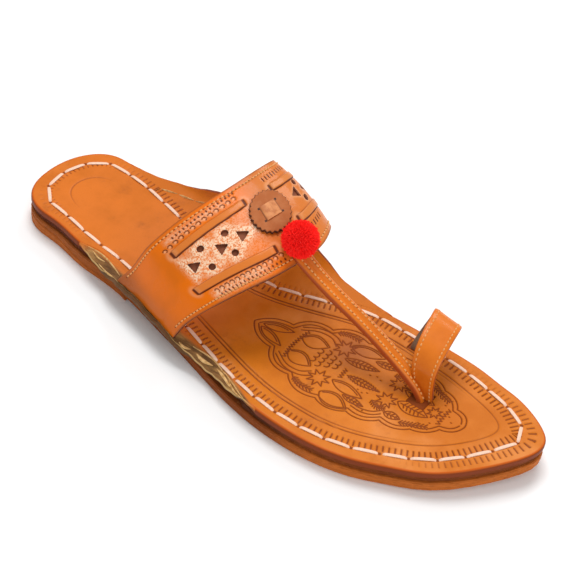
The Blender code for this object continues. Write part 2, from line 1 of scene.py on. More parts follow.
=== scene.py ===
"""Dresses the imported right-foot chappal: foot bed with its tooled border and ornament, running
thong stitches, raw and grain side ears with their thongs, punched instep band and its lining,
ribbed toe strap, toe loop, seams, pinked medallion with its woven tab, and wool pompom, on a
white studio floor.

All places are in metres in the frame's own coordinates: the toe points to -Y, the big-toe side
lies at +X and the sole stands on Z = 0.
"""

import math
import random

import bmesh
import bpy
import numpy as np
from mathutils import Matrix, Vector
from mathutils.kdtree import KDTree


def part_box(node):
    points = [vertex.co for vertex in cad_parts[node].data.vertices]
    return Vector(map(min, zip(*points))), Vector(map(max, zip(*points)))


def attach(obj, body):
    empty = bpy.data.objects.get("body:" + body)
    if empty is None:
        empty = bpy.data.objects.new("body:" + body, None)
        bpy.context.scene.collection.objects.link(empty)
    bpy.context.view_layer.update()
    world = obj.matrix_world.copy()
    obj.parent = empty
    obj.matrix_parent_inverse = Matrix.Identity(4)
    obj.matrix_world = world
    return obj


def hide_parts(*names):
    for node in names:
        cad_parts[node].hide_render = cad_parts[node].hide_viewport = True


bl_info = {
    "name": "Kolhapuri Chappal",
    "version": (1, 0, 0),
    "blender": (4, 5, 0),
    "location": "3D View > Sidebar > Chappal",
    "description": "Builds the leather, stitching, ornament and pompom of a toe-loop sandal",
    "category": "Add Mesh",
}

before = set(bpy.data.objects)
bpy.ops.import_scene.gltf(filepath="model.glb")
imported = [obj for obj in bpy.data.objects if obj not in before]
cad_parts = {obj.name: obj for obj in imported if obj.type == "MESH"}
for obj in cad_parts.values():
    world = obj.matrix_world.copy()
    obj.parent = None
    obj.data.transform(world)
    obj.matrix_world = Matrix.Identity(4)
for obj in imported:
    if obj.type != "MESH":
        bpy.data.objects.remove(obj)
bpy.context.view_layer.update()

MM = 0.001

# The last's own sizes, as in the solids
LENGTH = 282 * MM
BALL = 91 * MM
INSTEP = 66 * MM
HEEL_RISE = 3.2 * MM
TOE_SPRING = 3.5 * MM
GAP = 0.3 * MM
INSOLE = 3.0 * MM
FOREFOOT_TOP = 12.0 * MM
EAR = 2.0 * MM
BAND = 2.0 * MM
HEEL_ROUND = 0.078
TOE_ROUND = 0.106
HEEL_TURN = 0.039
ROUND_POWER = 2.2
SEAT_END = 0.18
WAIST_END = 0.50
SPRING_START = 0.76

# The last seen from above: share of the length from the heel, then both edges as shares of the
# ball width
LAST = [
    (0.000, 0.264, -0.341),
    (0.094, 0.277, -0.350),
    (0.165, 0.247, -0.398),
    (0.235, 0.187, -0.418),
    (0.324, 0.121, -0.473),
    (0.402, 0.090, -0.539),
    (0.465, 0.104, -0.599),
    (0.536, 0.176, -0.665),
    (0.614, 0.267, -0.710),
    (0.696, 0.286, -0.714),
    (0.766, 0.277, -0.676),
    (0.827, 0.264, -0.599),
    (0.894, 0.220, -0.489),
    (1.000, 0.159, -0.203),
]

# The ears: share of the length, then seat, reach, rise and lip as shares of the instep height
EARS = {
    "lateral": [
        (0.160, 0.004, 0.000, 0.000, 0.000),
        (0.174, 0.026, 0.014, -0.010, 0.000),
        (0.198, 0.044, 0.040, -0.030, 0.000),
        (0.235, 0.036, 0.060, -0.026, 0.010),
        (0.290, 0.032, 0.068, 0.012, 0.046),
        (0.390, 0.030, 0.072, 0.014, 0.048),
        (0.445, 0.060, 0.044, -0.030, 0.012),
        (0.490, 0.100, 0.012, -0.042, 0.000),
        (0.545, 0.074, 0.008, -0.020, 0.000),
        (0.576, 0.032, 0.003, -0.004, 0.000),
        (0.604, 0.003, 0.000, 0.000, 0.000),
    ],
    "medial": [
        (0.096, 0.003, 0.000, 0.000, 0.000),
        (0.124, 0.018, 0.014, 0.002, 0.000),
        (0.148, 0.027, 0.042, 0.005, 0.000),
        (0.170, 0.028, 0.078, 0.014, 0.003),
        (0.208, 0.030, 0.150, 0.045, 0.014),
        (0.278, 0.030, 0.242, 0.144, 0.072),
        (0.360, 0.030, 0.333, 0.182, 0.090),
        (0.430, 0.030, 0.364, 0.182, 0.090),
        (0.484, 0.030, 0.348, 0.144, 0.060),
        (0.544, 0.030, 0.205, 0.060, 0.014),
        (0.568, 0.028, 0.146, 0.022, 0.003),
        (0.595, 0.026, 0.080, 0.008, 0.000),
        (0.622, 0.020, 0.030, 0.002, 0.000),
        (0.655, 0.003, 0.000, 0.000, 0.000),
    ],
}
LIP_POWER = 10
# Shares of the length: over the first one an ear's seat starts at each end, and the second one
# is as far as each end is grain side up
EAR_STEP = 0.005
EAR_TAPER = 0.030
# How far it goes under the foot bed's side, and the radius of its edge
EAR_TUCK = 0.15 * MM
EAR_EDGE = 0.8 * MM
EAR_ROWS = 300
EAR_COLUMNS = 44
EAR_CROWDING = 1.6
# Across the ear, the grain side shows up to the first share and fades out over the second
EAR_GRAIN = (0.10, 0.35)
EAR_RIPPLES = {"lateral": 0.55 * MM, "medial": 0.10 * MM}
RAW_TOOLING = 0.3
# Steps for reading directions along the sole's edge and on the band, as shares of their lengths
EDGE_STEP = 0.004
FRAME_STEP = 0.004

# The band's feet on the ears, rear and front, and its rows from the lateral to the medial side:
# rear and front edge as shares of the ball width, the length and the instep height
BAND_FEET = {"lateral": (0.268, 0.416), "medial": (0.303, 0.459)}
FOOT_ACROSS = (0.87, 1.0)
BAND_ROWS = [
    ((-0.450, 0.285, 0.365), (-0.571, 0.429, 0.350)),
    ((-0.401, 0.308, 0.606), (-0.511, 0.466, 0.560)),
    ((-0.242, 0.342, 0.833), (-0.401, 0.499, 0.697)),
    ((-0.033, 0.372, 0.962), (-0.242, 0.530, 0.788)),
    ((0.176, 0.386, 1.000), (0.011, 0.547, 0.818)),
    ((0.319, 0.381, 0.924), (0.225, 0.524, 0.748)),
    ((0.379, 0.349, 0.667), (0.324, 0.490, 0.556)),
]
BAND_AXIS = (-0.05, 0.25)
BAND_BULGE = 2.2 * MM
BAND_GRID = (330, 112)
# Where the crown's painted pale sheen starts along the band, and over what share it comes in
BAND_CROWN_SHEEN = (0.44, 0.10)
BAND_TOOLING = 0.35 * MM

# Woven strips on the band: start and end along it, then the place across it at both ends
STRIPS = [
    (0.225, 0.470, 0.280, 0.230),
    (0.195, 0.480, 0.760, 0.790),
    (0.570, 0.800, 0.250, 0.270),
    (0.590, 0.810, 0.670, 0.700),
]
STRIP_HALF = 1.9 * MM
STRIP_RAISE = 0.55 * MM
STRIP_SOFT = 0.45 * MM
STRIP_RISE = 2.2 * MM
# Painted shadow lines beside a strip: their offset from its side, half width, and strength on its
# upper side
STRIP_SHADOW_OFFSET = 0.15 * MM
STRIP_SHADOW_HALF = 0.34 * MM
STRIP_UPPER_SHADOW = 0.45

# Cut-outs: along and across the band, corners and turn in degrees
CUT_OUTS = [
    (0.250, 0.525, 3, 0),
    (0.345, 0.520, 3, 0),
    (0.415, 0.512, 3, 0),
    (0.295, 0.405, 8, 0),
    (0.375, 0.405, 8, 0),
    (0.290, 0.632, 8, 0),
    (0.370, 0.630, 8, 0),
    (0.785, 0.470, 3, 180),
    (0.708, 0.460, 3, 180),
    (0.644, 0.450, 3, 180),
    (0.745, 0.360, 8, 0),
    (0.674, 0.350, 8, 0),
    (0.745, 0.575, 8, 0),
    (0.674, 0.565, 8, 0),
]
LINING_GRID = (120, 24)
LINING_ALONG = (0.20, 0.83)
LINING_ACROSS = (0.28, 0.74)
LINING_DEPTH = 1.35 * MM
LINING_THICK = 0.4 * MM
HOLE_ROUND = 1.7 * MM
HOLE_TRIANGLE = 3.7 * MM
# Soft marks round the cut-outs: where the frost and its painted glints start and their width, then
# the far half's pale rings
NEAR_CUT = (0.8 * MM, 2.2 * MM)
FAR_HALF = 0.5
FAR_RING = 0.9 * MM

# The frost's pale speckles are painted glints of light on the embossing; its roughness and bump are
# the leather's own
# The frosted panel and the frosted fringes: start, soft start, end and soft end along the band,
# then the panel across it, and each fringe's middle, width and strength across it
PANEL_ALONG = (0.20, 0.03, 0.50, 0.05)
PANEL_ACROSS = (0.25, 0.04, 0.78, 0.04)
PANEL_FROST_GLINT = (0.22, 0.95)
FRINGE_ALONG = (0.215, 0.03, 0.47, 0.08)
FRINGES = [
    (0.90, 0.055, 0.7),
    (0.12, 0.050, 0.5),
]
# Painted shade: its width at the band's edges, then its start, softness and reach at the lateral foot
SHADE_EDGE = 0.8 * MM
SHADE_FOOT = (0.035, 0.08, 0.5)
SHADE_FOOT_LEAST = 0.35

# Rows of small tooled marks on the band: first place, last place and count, and for the slits
# half their length
CRESCENTS = [
    ((0.215, 0.190), (0.448, 0.135), 13),
    ((0.250, 0.870), (0.485, 0.862), 13),
]
SLITS = [
    ((0.255, 0.118), (0.455, 0.074), 17, 0.30 * MM),
    ((0.255, 0.922), (0.490, 0.912), 17, 0.30 * MM),
    ((0.568, 0.130), (0.700, 0.125), 10, 1.00 * MM),
    ((0.612, 0.800), (0.680, 0.795), 6, 1.00 * MM),
]
CRESCENT_RADIUS = 1.05 * MM
CRESCENT_HALF = 0.30 * MM
CRESCENT_DARK = 0.9
CRESCENT_CUT = 1.3 * MM
CRESCENT_SOFT = 1.0 * MM
CRESCENT_HIGHLIGHT = 0.75 * MM
SLIT_HALF = 0.42 * MM
SLIT_END = 0.45 * MM
# A woven strip's slots, darkened as painted shade: width, straight half and soft end, then the pale
# ring round them
STRIP_SLOT = (0.75 * MM, 1.5 * MM, 0.6 * MM)
STRIP_RING = (1.5, 1.9)
STRIP_RING_RADIUS = 1.4 * MM
STRIP_RING_HALF = 0.6 * MM
STRIP_RING_PALE = 0.45
# Rows of machine stitching on the band: place across it, first and last place along it
BAND_SEAMS = [
    (0.055, 0.045, 0.955),
    (0.945, 0.045, 0.955),
]
SEAM_DENT = 0.42 * MM
# One machine stitch: half its length, half its width and its height
SEAM_BEAD = (0.85 * MM, 0.36 * MM, 0.40 * MM)
SEAM_RAISE = 0.05 * MM
SEAM_STEPS = 400
# Seams of the toe strap and the toe loop: across as a share of the half width, and height as a
# share of the thickness
STRAP_SEAM = (0.52, 0.52)
LOOP_SEAM = (0.72, 0.50)
# Dark marks along a seam: reach across it, share of each stitch, then strength there and beside
SEAM_REACH = 0.08
SEAM_HOLE = 0.45
SEAM_MARKS = (0.9, 0.2)

# Short thongs on the ears: side, first and last place as share of the length and across the
# ear, how far they bow out across it, and width
EAR_THONGS = [
    ("lateral", (0.425, 0.80), (0.448, 0.66), 0.10, 1.0 * MM),
    ("lateral", (0.458, 0.64), (0.494, 0.60), 0.12, 1.2 * MM),
    ("lateral", (0.502, 0.56), (0.546, 0.78), -0.06, 1.2 * MM),
    ("lateral", (0.446, 0.44), (0.520, 0.42), -0.10, 0.5 * MM),
    ("lateral", (0.515, 0.34), (0.580, 0.75), -0.06, 0.5 * MM),
    ("lateral", (0.530, 0.40), (0.574, 0.92), 0.12, 0.5 * MM),
    ("lateral", (0.178, 0.25), (0.262, 0.50), -0.16, 0.6 * MM),
    ("lateral", (0.190, 0.40), (0.222, 0.46), 0.14, 0.5 * MM),
    ("lateral", (0.215, 0.86), (0.262, 0.90), 0.04, 0.4 * MM),
    ("medial", (0.179, -0.50), (0.179, 0.07), 0.0, 1.0 * MM),
    ("medial", (0.180, 0.08), (0.206, 0.44), 0.0, 0.9 * MM),
    ("medial", (0.208, 0.45), (0.236, 0.60), 0.0, 0.9 * MM),
    ("medial", (0.239, 0.61), (0.268, 0.80), 0.0, 0.7 * MM),
    ("medial", (0.4965, 0.68), (0.546, 0.56), 0.0, 0.8 * MM),
    ("medial", (0.544, 0.62), (0.551, 0.50), 0.0, 1.4 * MM),
]
# A thong's cross section as shares of its half width, and its height there, in millimetres
EAR_THONG_STEPS = 13
EAR_THONG_SIDES = np.array([-1.0, -0.6, 0.0, 0.6, 1.0])
EAR_THONG_RISE = np.array([0.0, 0.35, 0.5, 0.35, 0.0])
EAR_THONG_TIP = 0.12 * MM

# The toe strap: centre as shares, half width and thickness; its first part lies on the band
STRAP_ALONG = 0.535
STRAP_ON_BAND = (0.76, 0.87, 0.985)
STRAP_SINK = 0.5 * MM
STRAP_HALF = 4.0 * MM
STRAP_THICK = 2.6 * MM
TOE_STRAP = [
    ((-0.106, 0.600, 0.680), 3.9 * MM, 3.0 * MM),
    ((-0.098, 0.665, 0.548), 3.8 * MM, 3.0 * MM),
    ((-0.096, 0.730, 0.402), 3.7 * MM, 3.0 * MM),
    ((-0.096, 0.774, 0.282), 3.6 * MM, 3.0 * MM),
    ((-0.097, 0.791, 0.205), 3.5 * MM, 3.0 * MM),
    ((-0.097, 0.795, 0.150), 3.4 * MM, 3.0 * MM),
]
TOE_LOOP = [
    ((-0.088, 0.795, 0.146), 4.2 * MM),
    ((-0.088, 0.794, 0.190), 4.4 * MM),
    ((-0.090, 0.788, 0.300), 5.4 * MM),
    ((-0.078, 0.783, 0.412), 6.2 * MM),
    ((-0.030, 0.779, 0.500), 6.8 * MM),
    ((0.060, 0.774, 0.552), 7.2 * MM),
    ((0.150, 0.769, 0.566), 7.4 * MM),
    ((0.212, 0.763, 0.528), 7.5 * MM),
    ((0.228, 0.756, 0.420), 7.4 * MM),
    ((0.202, 0.747, 0.290), 7.2 * MM),
    ((0.169, 0.742, 0.190), 7.0 * MM),
    ((0.167, 0.742, 0.146), 7.0 * MM),
]
STRAP_STEPS = 150
LOOP_STEPS = 120
LOOP_THICK = 2.0 * MM
LOOP_TILT = 0.18
# Their slots in the foot bed, sunk and darkened as painted shade: place, half width and half length,
# then depth and softness
SLOTS = [
    ((-0.112, 0.793), 5.4 * MM, 4.4 * MM),
    ((0.167, 0.742), 2.2 * MM, 8.0 * MM),
]
SLOT_DEPTH = 1.8
SLOT_START = 0.2 * MM
SLOT_SOFT = 0.7 * MM

# Half the cross section of the strap: across as a share of the half width, up as a share of
# the thickness
RIBBED = [
    (1.00, -0.50),
    (1.04, -0.10),
    (1.00, 0.20),
    (0.90, 0.40),
    (0.72, 0.50),
    (0.52, 0.52),
    (0.32, 0.48),
    (0.16, 0.36),
    (0.00, 0.28),
]
PLAIN = [
    (0.97, -0.50),
    (1.00, -0.20),
    (1.00, 0.20),
    (0.95, 0.42),
    (0.86, 0.50),
    (0.60, 0.50),
    (0.30, 0.50),
    (0.00, 0.50),
]

MEDALLION_ALONG = 0.522
MEDALLION_ACROSS = 0.46
MEDALLION_LONG = 11.2 * MM
MEDALLION_WIDE = 10.6 * MM
MEDALLION_THICK = 1.5 * MM
MEDALLION_TOOTH = 0.9 * MM
MEDALLION_TEETH = 26
MEDALLION_RINGS = [0.0, 0.18, 0.36, 0.54, 0.72, 0.86, 0.94, 1.0]
MEDALLION_CUT = 0.93
MEDALLION_BEVEL = 0.25 * MM
# The woven tab: half length, width as a share of it, height, and steps of its grid
WEAVE_HALF = 4.4 * MM
WEAVE_SHORT = 0.86
WEAVE_RAISE = 0.6 * MM
WEAVE_FALL = 0.9
WEAVE_POWER = 6
WEAVE_STEPS = 9
# The slits beside the tab: distance, half width, half length as a share of the tab, and height
TAB_SLIT_GAP = 0.35 * MM
TAB_SLIT_HALF = 0.55 * MM
TAB_SLIT_LONG = 0.9
TAB_SLIT_RAISE = 0.03 * MM
POMPOM_ALONG = 0.533
POMPOM_ACROSS = 0.872
POMPOM_BASE = 5.6 * MM
WOOL_CORE = 0.88
# Strength of a faint red emission on the wool: a painted glow that stands for light scattered in it
WOOL_PAINTED_GLOW = 0.09
# The cosine to straight down, beyond which no strand grows, as the strap is there
WOOL_FREE = 0.80
POMPOM_SEED = 11
# A strand's reach: least, most, and how much further a few go, as shares of the radius
WOOL_REACH = (0.90, 1.02, 0.10)
# Half a strand's thickness, and how far its tip bends away
STRAND_HALF = 0.17 * MM
STRAND_BEND = 1.2 * MM
# A strand from root to tip: share of its reach, then of its thickness
STRAND_ROWS = ((0.86, 0.8), (0.94, 1.0), (1.0, 0.75))
STRAND_LEAN = np.array([0.31, 0.52, 0.79])

# The foot bed's border, in millimetres: the running thong's distance inside the outline, then
# strength and length of the tooled dashes inside and outside it, all by share of the length
TRACK_INSET = [(0.0, 7.0), (0.10, 6.8), (0.35, 5.4), (0.65, 5.2), (0.85, 7.2), (1.0, 9.0)]
INNER_DASHES = [
    (0.00, 0.7, 1.8),
    (0.06, 0.6, 1.8),
    (0.11, 0.0, 1.8),
    (0.34, 0.0, 3.0),
    (0.41, 0.9, 3.4),
    (0.60, 1.0, 3.6),
    (0.85, 1.0, 3.6),
    (1.00, 1.0, 5.2),
]
OUTER_DASHES = {
    "lateral": [
        (0.00, 0.15, 2.4),
        (0.05, 0.35, 2.4),
        (0.13, 0.40, 2.4),
        (0.19, 0.00, 2.4),
        (0.36, 0.00, 2.4),
        (0.41, 0.70, 2.4),
        (0.49, 0.15, 2.2),
        (0.82, 0.15, 2.2),
        (0.90, 0.70, 3.4),
        (1.00, 0.90, 4.2),
    ],
    "medial": [
        (0.00, 0.10, 2.4),
        (0.06, 0.10, 2.4),
        (0.12, 0.50, 3.0),
        (0.20, 0.95, 3.8),
        (0.40, 0.95, 3.8),
        (0.52, 0.40, 2.6),
        (0.82, 0.30, 2.4),
        (0.90, 0.70, 3.2),
        (1.00, 0.90, 4.2),
    ],
}
# Two grooves inside the track: distance from it, then strength by share of the length
GROOVES = [
    (8.0, [
        (0.00, 0.75),
        (0.06, 0.60),
        (0.13, 0.00),
        (0.36, 0.00),
        (0.44, 0.90),
        (0.90, 0.60),
        (1.00, 0.50),
    ]),
    (9.8, [
        (0.00, 0.00),
        (0.36, 0.00),
        (0.44, 0.70),
        (0.75, 0.60),
        (0.86, 0.15),
        (1.00, 0.00),
    ]),
]

# How often the track and the grooves are smoothed, and the steps of their points
TRACK_PASSES = 30
GROOVE_PASSES = 700
RING_STEP = 0.5 * MM
OUTLINE_STEPS = 2400
DASH_START = 1.3
DASH_HALF = 0.42
DASH_SOFT = 0.3
GROOVE_HALF = 0.42 * MM
HOLE_REACH = 0.75 * MM
HOLE_DEPTH = 1.3

# The running thong: its first place, then how far a stitch stays off its holes and varies
STITCH_START = 0.35
STITCH_BACK = 0.55 * MM
STITCH_SHORT = 0.45 * MM
STITCH_PLAY = 0.5 * MM
STITCH_SEED = 4
# Its ends are this share as wide as its middle
STITCH_TIP = 0.72
# Its height along it, then over its cross section, in millimetres
STITCH_PROFILE = [
    (0.00, -0.35),
    (0.04, 0.05),
    (0.12, 0.42),
    (0.30, 0.52),
    (0.50, 0.55),
    (0.70, 0.52),
    (0.88, 0.42),
    (0.96, 0.05),
    (1.00, -0.35),
]
STITCH_SECTION = [
    (-1.0, -0.30),
    (-0.95, 0.00),
    (-0.55, 0.12),
    (0.0, 0.15),
    (0.55, 0.12),
    (0.95, 0.00),
    (1.0, -0.30),
]

# The foot bed's mesh: rows, columns and the columns beside its edges
BED_ROWS = 560
BED_COLUMNS = 140
EDGE_OFFSETS = np.array([0.0, 0.08, 0.25, 0.55, 1.0]) * MM
EDGE_RADIUS = 1.1 * MM
EDGE_WAVE = 0.10 * MM
# Slight waves of the foot bed: how fast they run in X and in Y, and where they start
BED_WAVES = ((190, 60, 0.0), (0, 150, 1.3))
BED_CROWDING = 0.28
RIM_SHARE = 0.85
RIM_REACH = 2.0 * MM
# Middle of a dark patch under the toe strap: partly a stain, partly the strap's painted shadow
STAIN_AND_SHADOW_PLACE = (0.0095, -0.0430, 0.0120)
SHARE_END = 0.00008
ORNAMENT_SHARES = (0.475, 0.900)
ORNAMENT_MIDDLES = (0.16, 0.86)
ORNAMENT_FINER = 2

# The ornament on the fore part, in millimetres along its axis from the rear tip and off the
# axis: the corners between its lobes, and how far the lobe that starts there swells
ORNAMENT_START = 138.5
ORNAMENT_AXIS = [(0, -19.8), (40, -18.6), (75, -15.2), (108, -12.4)]
ORNAMENT_LOBES = [
    (-1.0, 0.0, 2.6),
    (14.3, 9.2, 3.8),
    (30.5, 18.2, 3.4),
    (48.0, 23.0, 2.6),
    (63.0, 22.0, 2.6),
    (77.5, 18.3, 2.3),
    (91.0, 15.0, 1.9),
    (101.5, 7.6, 2.2),
    (109.6, 0.0, 0.0),
]
ORNAMENT_INNER = 2.1
ORNAMENT_HALF = 0.33 * MM
ORNAMENT_DEPTH = 1.0
LEAF_INNER = 1.1
VEIN_PITCH = 1.9
TWIG_REACH = 1.5
COLLAR_TOOTH = 1.7
ROSETTE_SPIKES = 8
SCALE_REACH = 1.5
# Its leaves: base, tip and width, then plain, veined or saw-edged
LEAVES = [
    (22.0, -5.5, 35.5, -7.8, 8.6, "plain"),
    (22.0, 5.5, 35.5, 7.8, 8.6, "plain"),
    (3.5, -1.0, 17.5, -5.6, 4.6, "plain"),
    (3.5, 1.0, 17.5, 5.6, 4.6, "plain"),
    (48.0, -9.0, 64.5, -11.4, 5.8, "plain"),
    (47.5, -18.5, 62.5, -21.0, 8.8, "plain"),
    (56.5, -14.2, 67.5, -15.4, 3.4, "veined"),
    (51.5, -2.6, 68.5, -3.2, 4.6, "saw"),
    (45.0, 6.0, 61.5, 8.2, 4.8, "veined"),
    (43.0, 14.6, 59.5, 17.0, 6.8, "plain"),
    (57.0, 12.8, 68.5, 13.8, 3.8, "veined"),
    (78.0, -3.6, 93.5, -4.4, 7.2, "veined"),
    (77.0, 4.6, 92.0, 4.0, 6.4, "veined"),
    (76.5, -12.8, 84.5, -12.6, 4.2, "veined"),
    (76.5, 12.4, 84.5, 12.2, 4.2, "veined"),
]
# Spiky rosettes: middle and reach; zigzag collars: place, first and last distance off the axis
ROSETTES = [
    (42.5, -11.8, 5.4),
    (41.5, 11.4, 5.4),
    (73.5, -5.8, 5.0),
    (73.0, 6.2, 4.6),
    (94.5, 0.0, 3.6),
]
COLLARS = [
    (20.5, -10.5, 10.5),
    (48.5, -6.0, 0.5),
    (98.0, -5.5, 5.5),
]
# Ribs that follow the lobes inside the border, and twigs with side veins, on both sides
RIBS = [
    [(19.0, 9.0), (26.0, 13.2), (33.0, 13.4), (37.5, 10.2)],
    [(18.6, 11.0), (26.0, 15.4), (34.0, 15.6), (39.5, 12.4)],
    [(63.0, 17.8), (68.0, 18.6), (73.0, 17.4), (76.0, 14.6)],
    [(62.0, 16.0), (67.0, 16.8), (72.0, 15.6), (75.0, 12.8)],
]
TWIGS = [
    [(33.5, 18.0), (38.0, 20.2), (44.5, 20.0)],
    [(85.0, 14.4), (90.5, 12.2), (96.5, 9.6)],
    [(68.5, 9.6), (72.5, 12.0), (76.0, 10.8)],
]
# Small stamped scales between the rosettes, and dots
SCALES = [
    (33.5, -3.2),
    (33.5, 0.0),
    (33.5, 3.2),
    (37.0, -4.6),
    (37.0, -1.5),
    (37.0, 1.5),
    (37.0, 4.6),
    (40.5, -2.6),
    (40.5, 0.2),
    (40.5, 3.0),
    (44.0, -1.2),
    (44.0, 1.6),
]
DOTS = [
    (60.0, -7.4),
    (62.5, -8.2),
    (64.5, -7.0),
    (59.5, 3.6),
    (62.5, 4.6),
    (65.0, 3.4),
    (66.5, -18.4),
    (68.5, -17.6),
    (101.0, 1.5),
    (103.5, -1.2),
    (96.0, 6.8),
    (92.0, 9.6),
    (96.0, -6.8),
    (92.0, -9.6),
]

# The camera's sensor, the picture's side, and focal length and middle in its pixels
SENSOR = 36.0
PICTURE = 575
FOCAL = 1791.43
PICTURE_MIDDLE = (283.06, 318.79)

# The stage: half the floor, the light all round, and lamps with place, target, power and size
FLOOR_HALF = 4.0
ROOM_LIGHT = 0.52
LIGHTS = [
    ("light_above", (0.34, 0.40, 1.42), (0, 0, 0), 12, 0.7),
    ("light_behind", (1.0, 0.2, 0.9), (0, -0.06, 0), 4, 0.5),
    ("light_front", (-0.55, -1.05, 0.75), (0, 0, 0.02), 5, 0.9),
]


class ChappalSizes(bpy.types.PropertyGroup):
    stitch_pitch: bpy.props.FloatProperty(
        name="Stitch pitch",
        description="Distance between the holes of the running thong",
        default=12.8 * MM,
        min=6 * MM,
        unit="LENGTH",
    )
    stitch_width: bpy.props.FloatProperty(
        name="Stitch width",
        description="Width of the flat running thong",
        default=1.7 * MM,
        min=0.5 * MM,
        unit="LENGTH",
    )
    dash_pitch: bpy.props.FloatProperty(
        name="Dash pitch",
        description="Distance between the tooled dashes of the border",
        default=2.7 * MM,
        min=1 * MM,
        unit="LENGTH",
    )
    groove_depth: bpy.props.FloatProperty(
        name="Groove depth",
        description="Depth of the tooled lines on the foot bed",
        default=0.45 * MM,
        min=0.05 * MM,
        unit="LENGTH",
    )
    seam_pitch: bpy.props.FloatProperty(
        name="Seam pitch",
        description="Length of one machine stitch on the band and the straps",
        default=2.1 * MM,
        min=0.8 * MM,
        unit="LENGTH",
    )
    pompom_radius: bpy.props.FloatProperty(
        name="Pompom radius",
        description="Reach of the wool strands from the middle of the pompom",
        default=8.5 * MM,
        min=3 * MM,
        unit="LENGTH",
    )
    pompom_strands: bpy.props.IntProperty(
        name="Pompom strands",
        description="Number of wool strands",
        default=5200,
        min=200,
    )


def colour_setting(name, description, default):
    """A colour that a user can change, as linear red, green and blue."""
    return bpy.props.FloatVectorProperty(
        name=name,
        description=description,
        default=default,
        size=3,
        min=0.0,
        max=1.0,
        subtype="COLOR",
    )


class ChappalColours(bpy.types.PropertyGroup):
    foot_bed: colour_setting("Foot bed", "Polished tan of the foot bed", (0.66, 0.185, 0.010))
    foot_bed_heel: colour_setting("Foot bed heel", "Redder tan at the heel", (0.66, 0.165, 0.016))
    tooling: colour_setting("Tooling", "Dark brown in the tooled lines", (0.22, 0.045, 0.010))
    band: colour_setting("Band", "Glossy orange of the band and straps", (0.80, 0.160, 0.0))
    band_edge: colour_setting("Band edge", "Cut edge of the band", (0.13, 0.028, 0.010))
    raw: colour_setting("Raw leather", "Flesh side of the lateral ear", (0.300, 0.140, 0.042))
    sole: colour_setting("Sole leather", "Tan of the outsole and the lift", (0.56, 0.150, 0.026))
    # The dark layer's colour, also used at the midsole's waist as painted shadow under the lateral
    # ear
    sole_dark: colour_setting("Dark layer", "Dyed middle layer", (0.085, 0.022, 0.007))
    thong: colour_setting("Thong", "Pale running thong", (0.84, 0.56, 0.42))
    medallion: colour_setting("Medallion", "Brown of the pinked disc", (0.40, 0.105, 0.022))
    wool: colour_setting("Wool", "Red of the pompom", (0.95, 0.020, 0.014))


class ChappalStage(bpy.types.PropertyGroup):
    azimuth: bpy.props.FloatProperty(
        name="Azimuth",
        description="Camera's turn about the shoe, from the toe towards the big-toe side",
        default=math.radians(-60),
        subtype="ANGLE",
    )
    elevation: bpy.props.FloatProperty(
        name="Elevation",
        description="Camera's height angle over the floor",
        default=math.radians(45),
        subtype="ANGLE",
    )
    roll: bpy.props.FloatProperty(
        name="Roll",
        description="Clockwise turn of the picture",
        default=math.radians(8.016),
        subtype="ANGLE",
    )
    distance: bpy.props.FloatProperty(
        name="Distance",
        description="From the camera to the middle of the line between heel and toe",
        default=0.85,
        unit="LENGTH",
    )


def sizes():
    """The sizes that a user can change."""
    return bpy.context.scene.chappal_sizes


def chosen(name):
    """One of the colours that a user can change."""
    return tuple(getattr(bpy.context.scene.chappal_colours, name))


# Sums that the shapes share


def unit(vectors):
    """Vectors made one long."""
    return vectors / np.maximum(np.linalg.norm(vectors, axis=-1, keepdims=True), 1e-12)


def ease(share):
    """A soft step from 0 to 1."""
    share = np.clip(share, 0.0, 1.0)
    return share * share * (3 - 2 * share)


def fade(*shares):
    """1 in the middle of a mark, and less with each distance that is given by its width."""
    return np.exp(-sum(share ** 2 for share in shares))


def within(values, start, soft_start, end, soft_end):
    """1 between start and end, with a soft step at both."""
    return ease((values - start) / soft_start) * ease((end - values) / soft_end)


def rounded(inside, radius):
    """How deep a rounded edge lies, by the distance inside that edge."""
    border = np.clip(inside, 0, radius)
    return radius - np.sqrt(np.maximum(radius ** 2 - (radius - border) ** 2, 0.0))


def running_length(points):
    """The length of a line of points up to each of them."""
    return np.concatenate([[0], np.cumsum(np.linalg.norm(np.diff(points, axis=0), axis=-1))])


def joined(t, start, end, start_slope, end_slope):
    """A smooth way from start to end, with a slope at both."""
    first = start * (1 + 2 * t) + start_slope * t
    second = end * (3 - 2 * t) - end_slope * (1 - t)
    return first * (1 - t) ** 2 + second * t * t


def curve(stations, values, at):
    """Values on a smooth curve through the stations, read at one place or at many."""
    stations = np.asarray(stations, float)
    values = np.asarray(values, float)
    at = np.clip(np.asarray(at, float), stations[0], stations[-1])
    count = len(stations)
    places = np.arange(count)
    before = np.maximum(places - 1, 0)
    after = np.minimum(places + 1, count - 1)
    extra = (1,) * (values.ndim - 1)
    runs = (stations[after] - stations[before]).reshape((-1,) + extra)
    slopes = (values[after] - values[before]) / runs
    index = np.clip(np.searchsorted(stations, at) - 1, 0, count - 2)
    span = (stations[index + 1] - stations[index]).reshape(at.shape + extra)
    t = (at - stations[index]).reshape(at.shape + extra) / span
    ends = values[index], values[index + 1]
    return joined(t, *ends, slopes[index] * span, slopes[index + 1] * span)


def column(rows, place, at):
    """One column of a table, read as a smooth curve over its first column."""
    return curve([row[0] for row in rows], [row[place] for row in rows], at)


# Shapes of the last, the ears and the band


def spring(share):
    """How far the toe is lifted."""
    return TOE_SPRING * (np.maximum(share - SPRING_START, 0.0) / (1 - SPRING_START)) ** 2


def insole_top(share):
    """Height of the foot bed: raised heel seat, sloping waist, flat fore part, toe spring."""
    heel = HEEL_RISE * (1 - ease((share - SEAT_END) / (WAIST_END - SEAT_END)))
    return FOREFOOT_TOP + heel + spring(share)


